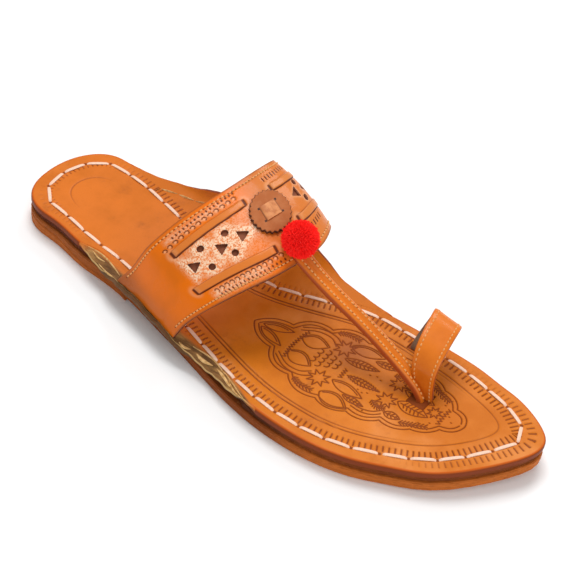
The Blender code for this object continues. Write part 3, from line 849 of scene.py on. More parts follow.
def edges(share):
    """Lateral and medial edge of the last, before they are moved to the frame's place."""
    share = np.asarray(share, float)
    medial = column(LAST, 1, share) * BALL
    lateral = column(LAST, 2, share) * BALL
    centre = (medial + lateral) / 2
    half = (medial - lateral) / 2
    heel = np.clip(1 - share / HEEL_ROUND, 0, 1)
    toe = np.clip((share - 1 + TOE_ROUND) / TOE_ROUND, 0, 1)
    for into in (heel, toe):
        half = half * (1 - into ** ROUND_POWER) ** (1 / ROUND_POWER)
    centre = centre - HEEL_TURN * BALL * heel ** 2
    return centre - half, centre + half


def axis_place():
    """Where the line between heel and toe lies in the frame, read from the outsole's box."""
    shares = np.linspace(0.0, 1.0, 1001)
    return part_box("outsole")[0][0] - float(edges(shares)[0].min())


AXIS_X = axis_place()


def side_edge(side, share):
    """X of one edge of the last."""
    return edges(share)[1 if side == "medial" else 0] + AXIS_X


def along_sole(share):
    """Y at a share of the length from the heel."""
    return LENGTH * (0.5 - np.asarray(share, float))


def ear_range(side):
    """First and last share of the length that an ear has."""
    return EARS[side][0][0], EARS[side][-1][0]


def ear_seat(side, share):
    """How far the foot bed is cut back beside an ear."""
    first, last = ear_range(side)
    depth = column(EARS[side], 1, share) * INSTEP
    inside = np.clip(np.minimum(share - first, last - share) / EAR_STEP + 1, 0, 1)
    return depth * inside


def ear_point(side, share, across, offset):
    """Points of an ear: across runs from the foot bed to the ear's own edge."""
    share, across = np.broadcast_arrays(np.asarray(share, float), np.asarray(across, float))
    rows = EARS[side]
    seat = column(rows, 1, share) * INSTEP + EAR_TUCK
    reach = np.maximum(column(rows, 2, share), 0.0) * INSTEP
    lip = np.maximum(column(rows, 4, share), 0.0) * INSTEP
    climb = column(rows, 3, share) * INSTEP - lip
    after = share + EDGE_STEP
    before = share - EDGE_STEP
    ahead_x = side_edge(side, after) - side_edge(side, before)
    ahead_y = along_sole(after) - along_sole(before)
    ahead = unit(np.stack([ahead_x, ahead_y], -1))
    outward = np.stack([-ahead[..., 1], ahead[..., 0]], -1)
    wrong = (outward[..., 0] > 0) != (side == "medial")
    outward = np.where(wrong[..., None], -outward, outward)
    width = seat + reach
    out = across * width - seat
    x = side_edge(side, share) + outward[..., 0] * out
    y = along_sole(share) + outward[..., 1] * out
    height = insole_top(0.5 - y / LENGTH) + climb * across ** 2 + lip * across ** LIP_POWER
    slope = (2 * climb * across + LIP_POWER * lip * across ** (LIP_POWER - 1)) / width
    lean_x = -slope * outward[..., 0]
    lean_y = -slope * outward[..., 1]
    normal = unit(np.stack([lean_x, lean_y, np.ones_like(slope)], -1))
    return np.stack([x, y, height], -1) + normal * np.asarray(offset)[..., None]


def sole_point(at):
    """A place given as shares of the ball width, of the length and of the instep height."""
    return np.array([at[0] * BALL + AXIS_X, float(along_sole(at[1])), at[2] * INSTEP])


def band_rows(across):
    """The band's rows from foot to foot, at each share across it."""
    across = np.asarray(across, float)

    def foot(side):
        rear, front = BAND_FEET[side]
        share = rear + (front - rear) * across
        return [ear_point(side, share, t, np.full(across.shape, GAP)) for t in FOOT_ACROSS]

    rows = foot("lateral")
    axis = np.array([BAND_AXIS[0] * BALL + AXIS_X, 0.0, BAND_AXIS[1] * INSTEP])
    for rear, front in BAND_ROWS:
        point = sole_point(rear) + (sole_point(front) - sole_point(rear)) * across[..., None]
        away = unit((point - axis) * np.array([1.0, 0.0, 1.0]))
        rows.append(point + away * (BAND_BULGE * np.sin(math.pi * across))[..., None])
    return np.array(rows + foot("medial")[::-1])


BAND_LENGTHS = running_length(band_rows(0.5))
BAND_LENGTH = float(BAND_LENGTHS[-1])
BAND_STATIONS = BAND_LENGTHS / BAND_LENGTH


def band_point(along, across):
    """Points of the band's outer face for equal arrays of places along and across it."""
    along, across = np.broadcast_arrays(np.asarray(along, float), np.asarray(across, float))
    rows = band_rows(across)
    count = len(BAND_STATIONS)
    at = np.clip(along, 0.0, 1.0)
    index = np.clip(np.searchsorted(BAND_STATIONS, at) - 1, 0, count - 2)

    def pick(place):
        place = np.clip(place, 0, count - 1)
        return np.take_along_axis(rows, place[None, ..., None], axis=0)[0]

    def slope(place):
        after = np.minimum(place + 1, count - 1)
        before = np.maximum(place - 1, 0)
        run = BAND_STATIONS[after] - BAND_STATIONS[before]
        return (pick(after) - pick(before)) / run[..., None]

    span = (BAND_STATIONS[index + 1] - BAND_STATIONS[index])[..., None]
    t = (at - BAND_STATIONS[index])[..., None] / span
    return joined(t, pick(index), pick(index + 1), slope(index) * span, slope(index + 1) * span)


def band_frame(along, across):
    """Points of the band's outer face with the directions along, across and outward."""
    along, across = np.broadcast_arrays(np.asarray(along, float), np.asarray(across, float))
    here = band_point(along, across)
    back = np.clip(along - FRAME_STEP, 0, 1)
    ahead = np.clip(along + FRAME_STEP, 0, 1)
    length = unit(band_point(ahead, across) - band_point(back, across))
    width = unit(band_point(along, across + FRAME_STEP) - here)
    return here, length, width, unit(np.cross(width, length))


def band_width(along):
    """How wide the band is at places along it."""
    return np.linalg.norm(band_point(along, 1.0) - band_point(along, 0.0), axis=-1)


# Meshes


def grid_faces(rows, columns, start=0, flip=False):
    """Quads of a grid of vertices that is stored row by row."""
    index = np.arange(rows * columns).reshape(rows, columns) + start
    corners = [index[:-1, :-1], index[:-1, 1:], index[1:, 1:], index[1:, :-1]]
    quads = np.stack(corners, -1).reshape(-1, 4)
    return quads[:, ::-1] if flip else quads


def border_ring(rows, columns):
    """The vertices round the border of a grid, in order."""
    index = np.arange(rows * columns).reshape(rows, columns)
    return np.concatenate([index[0, :], index[1:, -1], index[-1, -2::-1], index[-2:0:-1, 0]])


def rim_faces(rows, columns, start):
    """Quads between the borders of two stacked grids, the second one starting at start."""
    ring = border_ring(rows, columns)
    after = np.roll(ring, -1)
    return np.stack([after, ring, ring + start, after + start], -1)


def new_piece(name, verts, faces, material, marks=None, sharp=40):
    """A mesh object that rides on the shoe, with one value per vertex for each mark."""
    data = bpy.data.meshes.new(name)
    data.from_pydata(np.asarray(verts).tolist(), [], [list(map(int, face)) for face in faces])
    for key, values in (marks or {}).items():
        layer = data.attributes.new(key, "FLOAT", "POINT")
        layer.data.foreach_set("value", np.asarray(values, np.float32).ravel())
    data.shade_smooth()
    data.set_sharp_from_angle(angle=math.radians(sharp))
    data.materials.append(material)
    piece = bpy.data.objects.new(name, data)
    bpy.context.scene.collection.objects.link(piece)
    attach(piece, "root")
    return piece


def distance_to(points, segments):
    """The shortest distance from each plan point to any of the segments."""
    start = segments[:, 0]
    way = segments[:, 1] - start
    length = np.maximum((way ** 2).sum(-1), 1e-18)
    part = 4000
    best = np.zeros(len(points))
    for first in range(0, len(points), part):
        offset = points[first:first + part, None, :] - start[None]
        t = np.clip((offset * way[None]).sum(-1) / length[None], 0, 1)
        gap = offset - way[None] * t[..., None]
        best[first:first + part] = np.sqrt((gap ** 2).sum(-1)).min(-1)
    return best


def pairs(line):
    """The segments of a line of points."""
    return np.stack([line[:-1], line[1:]], 1)


# The foot bed's border and ornament


class Ring:
    """A closed line of plan points at even steps, from the heel over the medial side."""

    def __init__(self, points, passes=0):
        closed = np.concatenate([points, points[:1]])
        lengths = running_length(closed)
        self.length = float(lengths[-1])
        count = round(self.length / RING_STEP)
        self.arc = np.arange(count) * self.length / count
        line = np.stack([np.interp(self.arc, lengths, closed[:, axis]) for axis in range(2)], -1)
        for _ in range(passes):
            line = (np.roll(line, 1, axis=0) + line * 2 + np.roll(line, -1, axis=0)) / 4
        self.points = line
        ahead = unit(np.roll(line, -2, axis=0) - np.roll(line, 2, axis=0))
        self.inward = np.stack([ahead[:, 1], -ahead[:, 0]], -1)
        self.tree = near_tree(line)

    def inside(self, depth, passes):
        """The line that runs at a depth inside this one, with its corners eased."""
        depth = np.broadcast_to(depth, len(self.points))[:, None]
        return Ring(self.points + self.inward * depth, passes)

    def measure(self, plan):
        """How far plan points lie inside the line, and how far along it."""
        nearest = np.array([self.tree.find((x, y, 0.0))[1] for x, y in plan])
        offset = plan - self.points[nearest]
        inward = self.inward[nearest]
        ahead = np.stack([-inward[:, 1], inward[:, 0]], -1)
        return (offset * inward).sum(-1), self.arc[nearest] + (offset * ahead).sum(-1)


def near_tree(points):
    """Finds the nearest of a set of plan points."""
    tree = KDTree(len(points))
    for index, (x, y) in enumerate(points):
        tree.insert((x, y, 0.0), index)
    tree.balance()
    return tree


def outline_ring():
    """The outline of the last."""
    share = 0.5 - 0.5 * np.cos(np.linspace(0, math.pi, OUTLINE_STEPS))
    lateral, medial = edges(share)
    y = along_sole(share)
    return Ring(np.concatenate([
        np.stack([medial + AXIS_X, y], -1),
        np.stack([lateral + AXIS_X, y], -1)[-2:0:-1],
    ]))


OUTLINE = outline_ring()
TRACK_DEPTH = column(TRACK_INSET, 1, 0.5 - OUTLINE.points[:, 1] / LENGTH) * MM
TRACK = OUTLINE.inside(TRACK_DEPTH, TRACK_PASSES)
GROOVE_RINGS = [(TRACK.inside(depth * MM, GROOVE_PASSES), strength) for depth, strength in GROOVES]


def stitch_holes():
    """Evenly spaced plan points along the track where the thong goes through the leather."""
    count = round(TRACK.length / sizes().stitch_pitch)
    at = (np.arange(count) + STITCH_START) * TRACK.length / count
    return np.stack([np.interp(at, TRACK.arc, TRACK.points[:, axis]) for axis in range(2)], -1)


def ornament_place(line):
    """Plan points for ornament points given along and off its axis, in millimetres."""
    line = np.asarray(line, float)
    x = column(ORNAMENT_AXIS, 1, line[:, 0]) + line[:, 1]
    return np.stack([x * MM + AXIS_X, LENGTH / 2 - (ORNAMENT_START + line[:, 0]) * MM], -1)


def lobed_line():
    """Half of the ornament's outline, one swelling arc for each lobe."""
    t = np.linspace(0, 1, 13)[:-1, None]
    arcs = []
    for (u, w, swell), (next_u, next_w, _) in zip(ORNAMENT_LOBES, ORNAMENT_LOBES[1:]):
        way = np.array([next_u - u, next_w - w])
        outward = unit(np.array([-way[1], way[0]]))
        arcs.append(np.array([u, w]) + way * t + outward * swell * np.sin(math.pi * t) ** 0.8)
    return np.concatenate(arcs + [np.array([ORNAMENT_LOBES[-1][:2]])])


def offset_line(line, depth):
    """A line of the ornament moved inwards, kept on its own side of the axis."""
    ahead = unit(np.gradient(line, axis=0))
    moved = line + np.stack([ahead[:, 1], -ahead[:, 0]], -1) * depth
    return moved[moved[:, 1] > 0]


def leaf_lines(u, w, tip_u, tip_w, width, kind):
    """One leaf: its outline, then an inner line, veins or a saw edge."""
    base = np.array([u, w])
    way = np.array([tip_u - u, tip_w - w])
    length = float(np.linalg.norm(way))
    side = np.array([-way[1], way[0]]) / length
    t = np.linspace(0, 1, 25)
    belly = np.sin(math.pi * t ** 0.85) ** 0.9 * width / 2
    if kind == "saw":
        belly = belly - 0.7 * (np.arange(25) % 2)

    def line(along, off):
        return base + way * np.asarray(along)[:, None] + side * np.asarray(off)[:, None]

    lines = [line(t, belly), line(t, -belly)]
    if kind == "plain":
        kept = belly > LEAF_INNER
        lines.append(line(t[kept], (belly - LEAF_INNER)[kept]))
    else:
        lines.append(line([0.1, 0.9], [0.0, 0.0]))
        for vein in np.arange(0.2, 0.8, VEIN_PITCH / length):
            reach = 0.36 * width * math.sin(math.pi * vein ** 0.85)
            for sign in (1, -1):
                lines.append(line([vein, vein + 1.1 / length], [0.0, sign * reach]))
    return lines


def drawn(corners, count):
    """A smooth line through a few corners."""
    return curve(np.linspace(0, 1, len(corners)), corners, np.linspace(0, 1, count))


def arc_about(u, w, radius, angle):
    """Points about a place of the ornament."""
    return np.stack([u + radius * np.cos(angle), w + radius * np.sin(angle)], -1)


def ornament_segments():
    """All tooled lines of the ornament as plan segments."""
    outer = lobed_line()
    inner = offset_line(outer, ORNAMENT_INNER)
    both = [outer, inner] + [drawn(rib, 13) for rib in RIBS]
    for twig in TWIGS:
        stem = drawn(twig, 9)
        both.append(stem)
        for before, after in zip(stem[:-1], stem[1:]):
            off = unit(np.array([-(after - before)[1], (after - before)[0]])) * TWIG_REACH
            both += [np.array([before, after + off]), np.array([before, after - off])]
    lines = both + [line * np.array([1.0, -1.0]) for line in both]
    for leaf in LEAVES:
        lines += leaf_lines(*leaf)
    for u, low, high in COLLARS:
        count = 2 * round((high - low) / COLLAR_TOOTH)
        place = np.linspace(low, high, count + 1)
        lean = COLLAR_TOOTH * (np.arange(count + 1) % 2)
        lines.append(np.stack([u + lean + 0.012 * place ** 2, place], -1))
    for u, w, reach in ROSETTES:
        angle = np.linspace(0, 2 * math.pi, 2 * ROSETTE_SPIKES + 1)
        radius = reach * np.where(np.arange(2 * ROSETTE_SPIKES + 1) % 2, 0.48, 1.0)
        lines.append(arc_about(u, w, radius, angle))
    for u, w in SCALES:
        lines.append(arc_about(u, w, SCALE_REACH, np.radians(np.linspace(-100, 100, 8))))
    for u, w in DOTS:
        lines.append(np.array([[u - 0.2, w], [u + 0.2, w]]))
    return np.concatenate([pairs(ornament_place(line)) for line in lines])


def border_marks(plan, share):
    """How deep the border is tooled at each plan point."""
    reach, at = TRACK.measure(plan)
    reach = reach / MM
    pitch = sizes().dash_pitch
    phase = ((at / pitch) % 1.0 - 0.5) * pitch / MM
    dash = fade(phase / DASH_HALF)
    medial = plan[:, 0] > (side_edge("lateral", share) + side_edge("medial", share)) / 2

    def row(table, side):
        """Dashes that start beside the thong and end where the table says."""
        off = reach * side - DASH_START
        length = column(table, 2, share)
        ends = within(off, -DASH_SOFT, 2 * DASH_SOFT, length + DASH_SOFT, 2 * DASH_SOFT)
        return dash * ends * np.clip(column(table, 1, share), 0, 1)

    marks = row(INNER_DASHES, 1)
    outer = np.where(medial, row(OUTER_DASHES["medial"], -1), row(OUTER_DASHES["lateral"], -1))
    marks = np.maximum(marks, outer)
    for ring, strength in GROOVE_RINGS:
        off, _ = ring.measure(plan)
        line = fade(off / GROOVE_HALF) * np.clip(column(strength, 1, share), 0, 1)
        marks = np.maximum(marks, line)
    return marks


def slot_marks(plan):
    """The sunken slots that the post and the loop go through, whose marks also darken them as painted
    shade.
    """
    marks = np.zeros(len(plan))
    for (at_x, at_share), half_x, half_y in SLOTS:
        off_x = np.abs(plan[:, 0] - (at_x * BALL + AXIS_X)) - half_x
        off_y = np.abs(plan[:, 1] - float(along_sole(at_share))) - half_y
        beside = ease((np.maximum(off_x, off_y) + SLOT_START) / SLOT_SOFT)
        marks = np.maximum(marks, SLOT_DEPTH * (1 - beside))
    return marks


def foot_bed_plan(places, middles):
    """Plan places of the foot bed inside its edge columns: from heel to toe, and across."""
    share = foot_bed_shares(places)[:, None]
    low, high, room = foot_bed_sides(share)
    left = low + EDGE_OFFSETS[-1] * room
    right = high - EDGE_OFFSETS[-1] * room
    return left + (right - left) * middles[None], share + 0 * middles[None]


def foot_bed_shares(places):
    """Shares along the sole for the foot bed's rows, closer together at heel and toe."""
    tight = 0.5 - 0.5 * np.cos(math.pi * places)
    mixed = (1 - BED_CROWDING) * places + BED_CROWDING * tight
    return np.clip(mixed, SHARE_END, 1 - SHARE_END)


def foot_bed_sides(share):
    """Both sides of the foot bed between the ears, and how much room its edge columns have."""
    low = side_edge("lateral", share) + ear_seat("lateral", share)
    high = side_edge("medial", share) - ear_seat("medial", share)
    return low, high, np.minimum(1.0, (high - low) / (4 * EDGE_OFFSETS[-1]))


def foot_bed_surface(x, share, ornament):
    """Points of the foot bed's upper face with their tooling and their rim."""
    plan = np.stack([x.ravel(), along_sole(share).ravel()], -1)
    flat = share.ravel()
    marks = np.maximum(border_marks(plan, flat), slot_marks(plan))
    if ornament:
        lines = fade(distance_to(plan, ornament_segments()) / ORNAMENT_HALF)
        marks = np.maximum(marks, ORNAMENT_DEPTH * lines)
    # Dents at the thong's holes, darkened in colour as painted shade
    holes = near_tree(stitch_holes())
    to_hole = np.array([holes.find((px, py, 0.0))[2] for px, py in plan])
    marks = np.maximum(marks, HOLE_DEPTH * fade(to_hole / HOLE_REACH))
    inside, _ = OUTLINE.measure(plan)
    waves = [np.sin(plan[:, 0] * in_x + plan[:, 1] * in_y + start) for in_x, in_y, start in BED_WAVES]
    wave = EDGE_WAVE * sum(waves) * (np.clip(inside, 0, EDGE_RADIUS) / EDGE_RADIUS)
    tooling = np.clip(marks, 0, 2) * sizes().groove_depth
    top = insole_top(flat) - rounded(inside, EDGE_RADIUS) - tooling + wave
    rim = np.clip(1 - np.maximum(inside, 0) / RIM_REACH, 0, 1) ** 2 * RIM_SHARE
    return np.stack([plan[:, 0], plan[:, 1], top], -1), np.clip(marks, 0, 1.2), rim


# Shader sums


class Shade:
    """A socket of a material's nodes, so that masks and colours are written as sums."""

    def __init__(self, tree, socket=None):
        self.tree = tree
        self.socket = socket

    def node(self, kind, settings=None, inputs=None, output=0):
        """Add any node: its settings first, then values or links of its sockets."""
        made = self.tree.nodes.new(kind)
        for key, value in (settings or {}).items():
            setattr(made, key, value)
        for key, value in (inputs or {}).items():
            socket = made.inputs[key]
            if isinstance(value, Shade):
                self.tree.links.new(value.socket, socket)
            elif socket.type == "RGBA":
                socket.default_value = (*value, 1.0)
            else:
                socket.default_value = value
        return Shade(self.tree, made.outputs[output])

    def sum(self, operation, left, right):
        return self.node("ShaderNodeMath", {"operation": operation}, {0: left, 1: right})

    def __add__(self, other):
        return self.sum("ADD", self, other)

    __radd__ = __add__

    def __sub__(self, other):
        return self.sum("SUBTRACT", self, other)

    def __rsub__(self, other):
        return self.sum("SUBTRACT", other, self)

    def __mul__(self, other):
        return self.sum("MULTIPLY", self, other)

    __rmul__ = __mul__

    def between(self, low, high):
        """A soft step that runs from 0 at low to 1 at high."""
        return self.node(
            "ShaderNodeMapRange",
            {"interpolation_type": "SMOOTHSTEP", "clamp": True},
            {"Value": self, "From Min": low, "From Max": high},
        )

    def mix(self, factor, first, second):
        """A colour between two colours."""
        inputs = {0: factor, 6: first, 7: second}
        return self.node("ShaderNodeMix", {"data_type": "RGBA"}, inputs, 2)


class Finish:
    """A material that starts from one colour, with its places, marks and noises ready to use."""

    def __init__(self, name, colour):
        self.material = bpy.data.materials.new(name)
        self.material.use_nodes = True
        self.tree = self.material.node_tree
        self.shader = self.tree.nodes["Principled BSDF"]
        self.maker = Shade(self.tree)
        self.place = self.maker.node("ShaderNodeTexCoord", output=3)
        self.colour = colour

    def axis(self, name):
        index = "XYZ".index(name)
        return self.maker.node("ShaderNodeSeparateXYZ", None, {0: self.place}, index)

    def mark(self, name):
        return self.maker.node("ShaderNodeAttribute", {"attribute_name": name}, None, 2)

    def noise(self, scale, detail=3.0, rough=0.55, stretch=(1, 1, 1), shift=0.0):
        """Noise whose scale is the number of its features in a metre."""
        inputs = {"Vector": self.place, "Scale": stretch, "Location": (shift, shift, shift)}
        place = self.maker.node("ShaderNodeMapping", None, inputs)
        inputs = {"Vector": place, "Scale": scale, "Detail": detail, "Roughness": rough}
        return self.maker.node("ShaderNodeTexNoise", {"noise_dimensions": "3D"}, inputs)

    def cells(self, scale):
        """Grain of leather, its scale the number of its cells in a metre."""
        inputs = {"Vector": self.place, "Scale": scale}
        return self.maker.node("ShaderNodeTexVoronoi", {"feature": "F1"}, inputs)

    def bump(self, height, distance, strength=1.0):
        inputs = {"Strength": strength, "Distance": distance, "Height": height}
        return self.maker.node("ShaderNodeBump", None, inputs)

    def lay(self, mask, colour):
        """Lay another colour over the present one where the mask says."""
        self.colour = self.maker.mix(mask, self.colour, colour)

    def apply(self, roughness, normal=None, **fixed):
        """Feed the shader: what varies is linked, and the rest is set on its own sockets."""
        fed = {"Base Color": self.colour, "Roughness": roughness, "Normal": normal}
        for key, value in fed.items():
            if isinstance(value, Shade):
                self.tree.links.new(value.socket, self.shader.inputs[key])
            elif key == "Base Color":
                self.shader.inputs[key].default_value = (*value, 1.0)
            elif value is not None:
                self.shader.inputs[key].default_value = value
        for key, value in fixed.items():
            self.shader.inputs[key.replace("_", " ")].default_value = value
        return self.material


def foot_bed_leather():
    """Polished tan leather, redder at the heel, with dark tooled lines, painted shade in the slots
    and thong holes, a patch under the toe strap that is partly a stain and partly its painted shadow,
    and a burnished edge.
    """
    finish = Finish("foot_bed_leather", chosen("foot_bed"))
    finish.lay(finish.axis("Y").between(-0.03, 0.08), chosen("foot_bed_heel"))
    clouds = finish.noise(34, 5, 0.6).between(0.36, 0.66)
    finish.lay(clouds * 0.70, (0.52, 0.125, 0.004))
    pale = finish.noise(26, 4, shift=1.7).between(0.52, 0.74)
    finish.lay(pale * 0.60, (0.76, 0.275, 0.070))
    stain = finish.noise(60, 5, 0.65, shift=3.1).between(0.56, 0.76)
    finish.lay(stain * 0.48, (0.32, 0.080, 0.012))
    # A dark patch under the toe strap: partly a stain, partly the strap's painted shadow
    ends = {0: finish.place, 1: STAIN_AND_SHADOW_PLACE}
    stain_and_strap_shadow = finish.maker.node("ShaderNodeVectorMath", {"operation": "DISTANCE"}, ends, 1)
    stain_and_strap_shadow = 1 - (stain_and_strap_shadow + finish.noise(90, 4, 0.6, shift=6.0) * 0.014).between(0.008, 0.024)
    finish.lay(stain_and_strap_shadow * 0.55, (0.26, 0.075, 0.030))
    specks = finish.noise(1300, 2).between(0.55, 0.80)
    finish.lay(specks * 0.20, (0.36, 0.085, 0.010))
    # Dark tooled lines, with painted shade in the slots and the thong's holes
    groove = finish.mark("groove")
    finish.lay(groove.between(0.05, 0.85) * 0.92, chosen("tooling"))
    rim = finish.mark("rim")
    finish.lay(rim.between(0.02, 0.35), (0.56, 0.105, 0.006))
    finish.lay(rim.between(0.35, 0.85), (0.21, 0.038, 0.008))
    height = finish.noise(2600, 3) * 0.6 + finish.cells(1900) * 0.4
    rough = 0.36 + clouds * 0.14 + groove * 0.2
    normal = finish.bump(height, 0.00006, 0.6)
    return finish.apply(rough, normal, Specular_IOR_Level=0.12, Coat_Weight=0.0)


def band_leather():
    """Glossy orange leather with a painted pale sheen over the crown, frosted round the cut-outs with
    painted glints, and painted shade along its edges and at its lateral foot.
    """
    finish = Finish("band_leather", chosen("band"))
    # Painted sheen: a paler, pinkish colour over the crown stands for the lamp's reflection there
    finish.lay(finish.mark("crown"), (0.62, 0.180, 0.034))
    clouds = finish.noise(55, 4).between(0.40, 0.70)
    finish.lay(clouds * 0.55, (0.58, 0.125, 0.002))
    # Painted shade along the band's edges and at its lateral foot, where it goes down into the ear
    worn = finish.mark("worn")
    finish.lay(worn * 0.75, (0.26, 0.075, 0.022))
    # Frost: matt embossed grain whose pale speckles are painted glints of light
    frost = finish.mark("frost")
    pricks = finish.noise(1100, 2, 0.7).between(0.40, 0.56)
    finish.lay(frost * 0.16 + frost * pricks * 0.78, (0.92, 0.66, 0.45))
    # Pale rings round the far cut-outs and the strips' slots, and painted highlights in the
    # crescents' middles
    halo = finish.mark("halo")
    finish.lay(halo * 0.60, (0.86, 0.52, 0.30))
    strip = finish.mark("strip")
    finish.lay(strip * 0.60, (0.62, 0.210, 0.050))
    # Dark tooling, with painted shadow lines beside the strips and painted shade in their slots
    groove = finish.mark("groove")
    finish.lay(groove.between(0.10, 0.75) * 0.95, (0.10, 0.016, 0.004))
    height = finish.noise(2400, 3) * 0.5 + finish.cells(1200) * frost * 1.6
    normal = finish.bump(height, 0.00010, 0.6)
    rough = 0.26 + frost * 0.20 + clouds * 0.08 + groove * 0.3
    gloss = {"Specular_IOR_Level": 0.1, "Coat_Weight": 0.10, "Coat_Roughness": 0.10}
    return finish.apply(rough, normal, **gloss)


def lining_leather():
    """The matt lining under the band, seen through the cut-outs."""
    finish = Finish("lining_leather", (0.30, 0.095, 0.045))
    clouds = finish.noise(220, 3).between(0.38, 0.66)
    finish.lay(clouds, (0.155, 0.042, 0.018))
    return finish.apply(0.7, finish.bump(clouds, 0.00008, 0.5), Specular_IOR_Level=0.2)


def cut_edge_leather():
    """The dark cut edge of the band and of its cut-outs."""
    finish = Finish("cut_edge_leather", chosen("band_edge"))
    fibres = finish.noise(700, 3, 0.6, (1, 1, 3)).between(0.35, 0.70)
    finish.lay(fibres, (0.30, 0.085, 0.028))
    return finish.apply(0.6, finish.bump(fibres, 0.00012, 0.7))


def strap_leather():
    """Orange leather of the toe strap and loop, with darker grooves and a grey flesh side."""
    finish = Finish("toe_strap_leather", (0.70, 0.175, 0.012))
    clouds = finish.noise(60, 4).between(0.40, 0.70)
    finish.lay(clouds * 0.5, (0.52, 0.105, 0.004))
    groove = finish.mark("groove")
    finish.lay(groove.between(0.10, 0.90) * 0.85, (0.20, 0.040, 0.010))
    side = finish.mark("side")
    finish.lay(side, (0.40, 0.075, 0.016))
    flesh = finish.mark("flesh")
    finish.lay(flesh, (0.27, 0.185, 0.120))
    normal = finish.bump(finish.noise(2200, 3), 0.00008, 0.6)
    rough = 0.30 + flesh * 0.45 + groove * 0.2
    gloss = {"Specular_IOR_Level": 0.15, "Coat_Weight": 0.12, "Coat_Roughness": 0.15}
    return finish.apply(rough, normal, **gloss)


def raw_leather():
    """The fibrous olive-brown flesh side of the lateral ear, with pale cut edges."""
    finish = Finish("raw_ear_leather", (0.11, 0.047, 0.014))
    fibres = finish.noise(420, 5, 0.65, (1, 0.20, 1)).between(0.32, 0.72)
    finish.lay(fibres, chosen("raw"))
    pale = finish.noise(190, 4, 0.6, (1, 0.22, 1), shift=4.0).between(0.48, 0.66)
    finish.lay(pale * 0.75, (0.52, 0.270, 0.080))
    dark = finish.noise(130, 3, 0.6, (1, 0.35, 1), shift=5.0).between(0.54, 0.70)
    finish.lay(dark * 0.80, (0.050, 0.022, 0.009))
    rim = finish.mark("rim")
    finish.lay(rim.between(0.25, 0.60), (0.58, 0.36, 0.14))
    finish.lay(rim.between(0.85, 1.0), (0.13, 0.060, 0.022))
    finish.lay(finish.mark("grain"), (0.62, 0.160, 0.016))
    finish.lay(finish.mark("groove").between(0.1, 0.9) * 0.8, chosen("tooling"))
    return finish.apply(0.62, finish.bump(fibres, 0.00040, 0.9), Specular_IOR_Level=0.2)


def ear_thong_leather():
    """Thin yellowish thong on the ears."""
    finish = Finish("ear_thong_leather", (0.80, 0.50, 0.21))
    fibres = finish.noise(500, 3).between(0.35, 0.70)
    finish.lay(fibres, (0.55, 0.29, 0.09))
    return finish.apply(0.55, finish.bump(fibres, 0.00010, 0.6), Specular_IOR_Level=0.2)


def sole_edge(name, fore, waist, heel):
    """Layered leather edge: streaks along the sole, darker towards waist and heel, partly as painted
    shade.
    """
    finish = Finish(name, fore)
    y = finish.axis("Y")
    finish.lay(y.between(-0.062, -0.030), waist)
    finish.lay(y.between(0.035, 0.065), heel)
    streaks = finish.noise(210, 5, 0.65, (1, 1, 6)).between(0.40, 0.72)
    finish.lay(streaks * 0.35, tuple(channel * 0.6 for channel in waist))
    scratches = finish.noise(420, 4, 0.7, (1, 1, 5), shift=2.0).between(0.60, 0.72)
    finish.lay(scratches * 0.45, (0.62, 0.270, 0.095))
    rough = 0.50 + streaks * 0.2
    return finish.apply(rough, finish.bump(streaks, 0.00022, 0.8), Specular_IOR_Level=0.06)


def thong_leather():
    """Pale flat thong with faint fibres."""
    finish = Finish("thong_leather", chosen("thong"))
    fibres = finish.noise(900, 3).between(0.40, 0.75)
    finish.lay(fibres * 0.5, (0.74, 0.45, 0.28))
    return finish.apply(0.5, finish.bump(fibres, 0.00008, 0.6))


def medallion_leather():
    """Matt brown leather with dark pinked edges."""
    finish = Finish("medallion_leather", chosen("medallion"))
    clouds = finish.noise(160, 4).between(0.35, 0.72)
    finish.lay(clouds * 0.6, (0.50, 0.175, 0.060))
    finish.lay(finish.mark("edge").between(0.2, 0.8), (0.085, 0.024, 0.010))
    normal = finish.bump(finish.noise(2600, 3), 0.00008, 0.7)
    return finish.apply(0.62, normal, Specular_IOR_Level=0.2)


def tab_leather():
    """Pale tan leather of the woven tab, darker towards its ends, where it bends down into the slits.
    """
    finish = Finish("tab_leather", (0.66, 0.255, 0.085))
    clouds = finish.noise(300, 3).between(0.38, 0.66)
    finish.lay(clouds, (0.48, 0.150, 0.040))
    finish.lay(finish.mark("edge").between(0.3, 1.0), (0.20, 0.055, 0.018))
    return finish.apply(0.45, finish.bump(clouds, 0.00008, 0.5), Specular_IOR_Level=0.2)


def slit_dark():
    """The shadow in the slits beside the woven tab."""
    finish = Finish("slit_dark", (0.030, 0.010, 0.006))
    finish.lay(finish.noise(900), (0.07, 0.022, 0.010))
    return finish.apply(0.8)


def seam_thread():
    """Pale orange machine thread."""
    finish = Finish("seam_thread", (0.88, 0.44, 0.15))
    finish.lay(finish.noise(3000, 1), (0.62, 0.24, 0.05))
    return finish.apply(0.55)


def wool_finish():
    """Soft red wool, darker in the middle of the ball as painted shade, with a painted red glow."""
    finish = Finish("pompom_wool", (0.60, 0.006, 0.006))
    # Painted shade: strands keep a darker red deep in the ball and reach the wool's red near its
    # surface
    finish.lay(finish.mark("depth").between(0.84, 0.96), chosen("wool"))
    finish.lay(finish.mark("tuft") * 0.45, (1.0, 0.085, 0.070))
    # Painted glow: a faint red emission brightens the wool
    painted_glow = {"Emission_Color": (1.0, 0.012, 0.010, 1.0), "Emission_Strength": WOOL_PAINTED_GLOW}
    return finish.apply(0.9, Specular_IOR_Level=0.1, **painted_glow)


# Pieces


def finer(steps, first, last):
    """The steps from the first to the last one, closer together."""
    return np.linspace(steps[first], steps[last], ORNAMENT_FINER * (last - first) + 1)


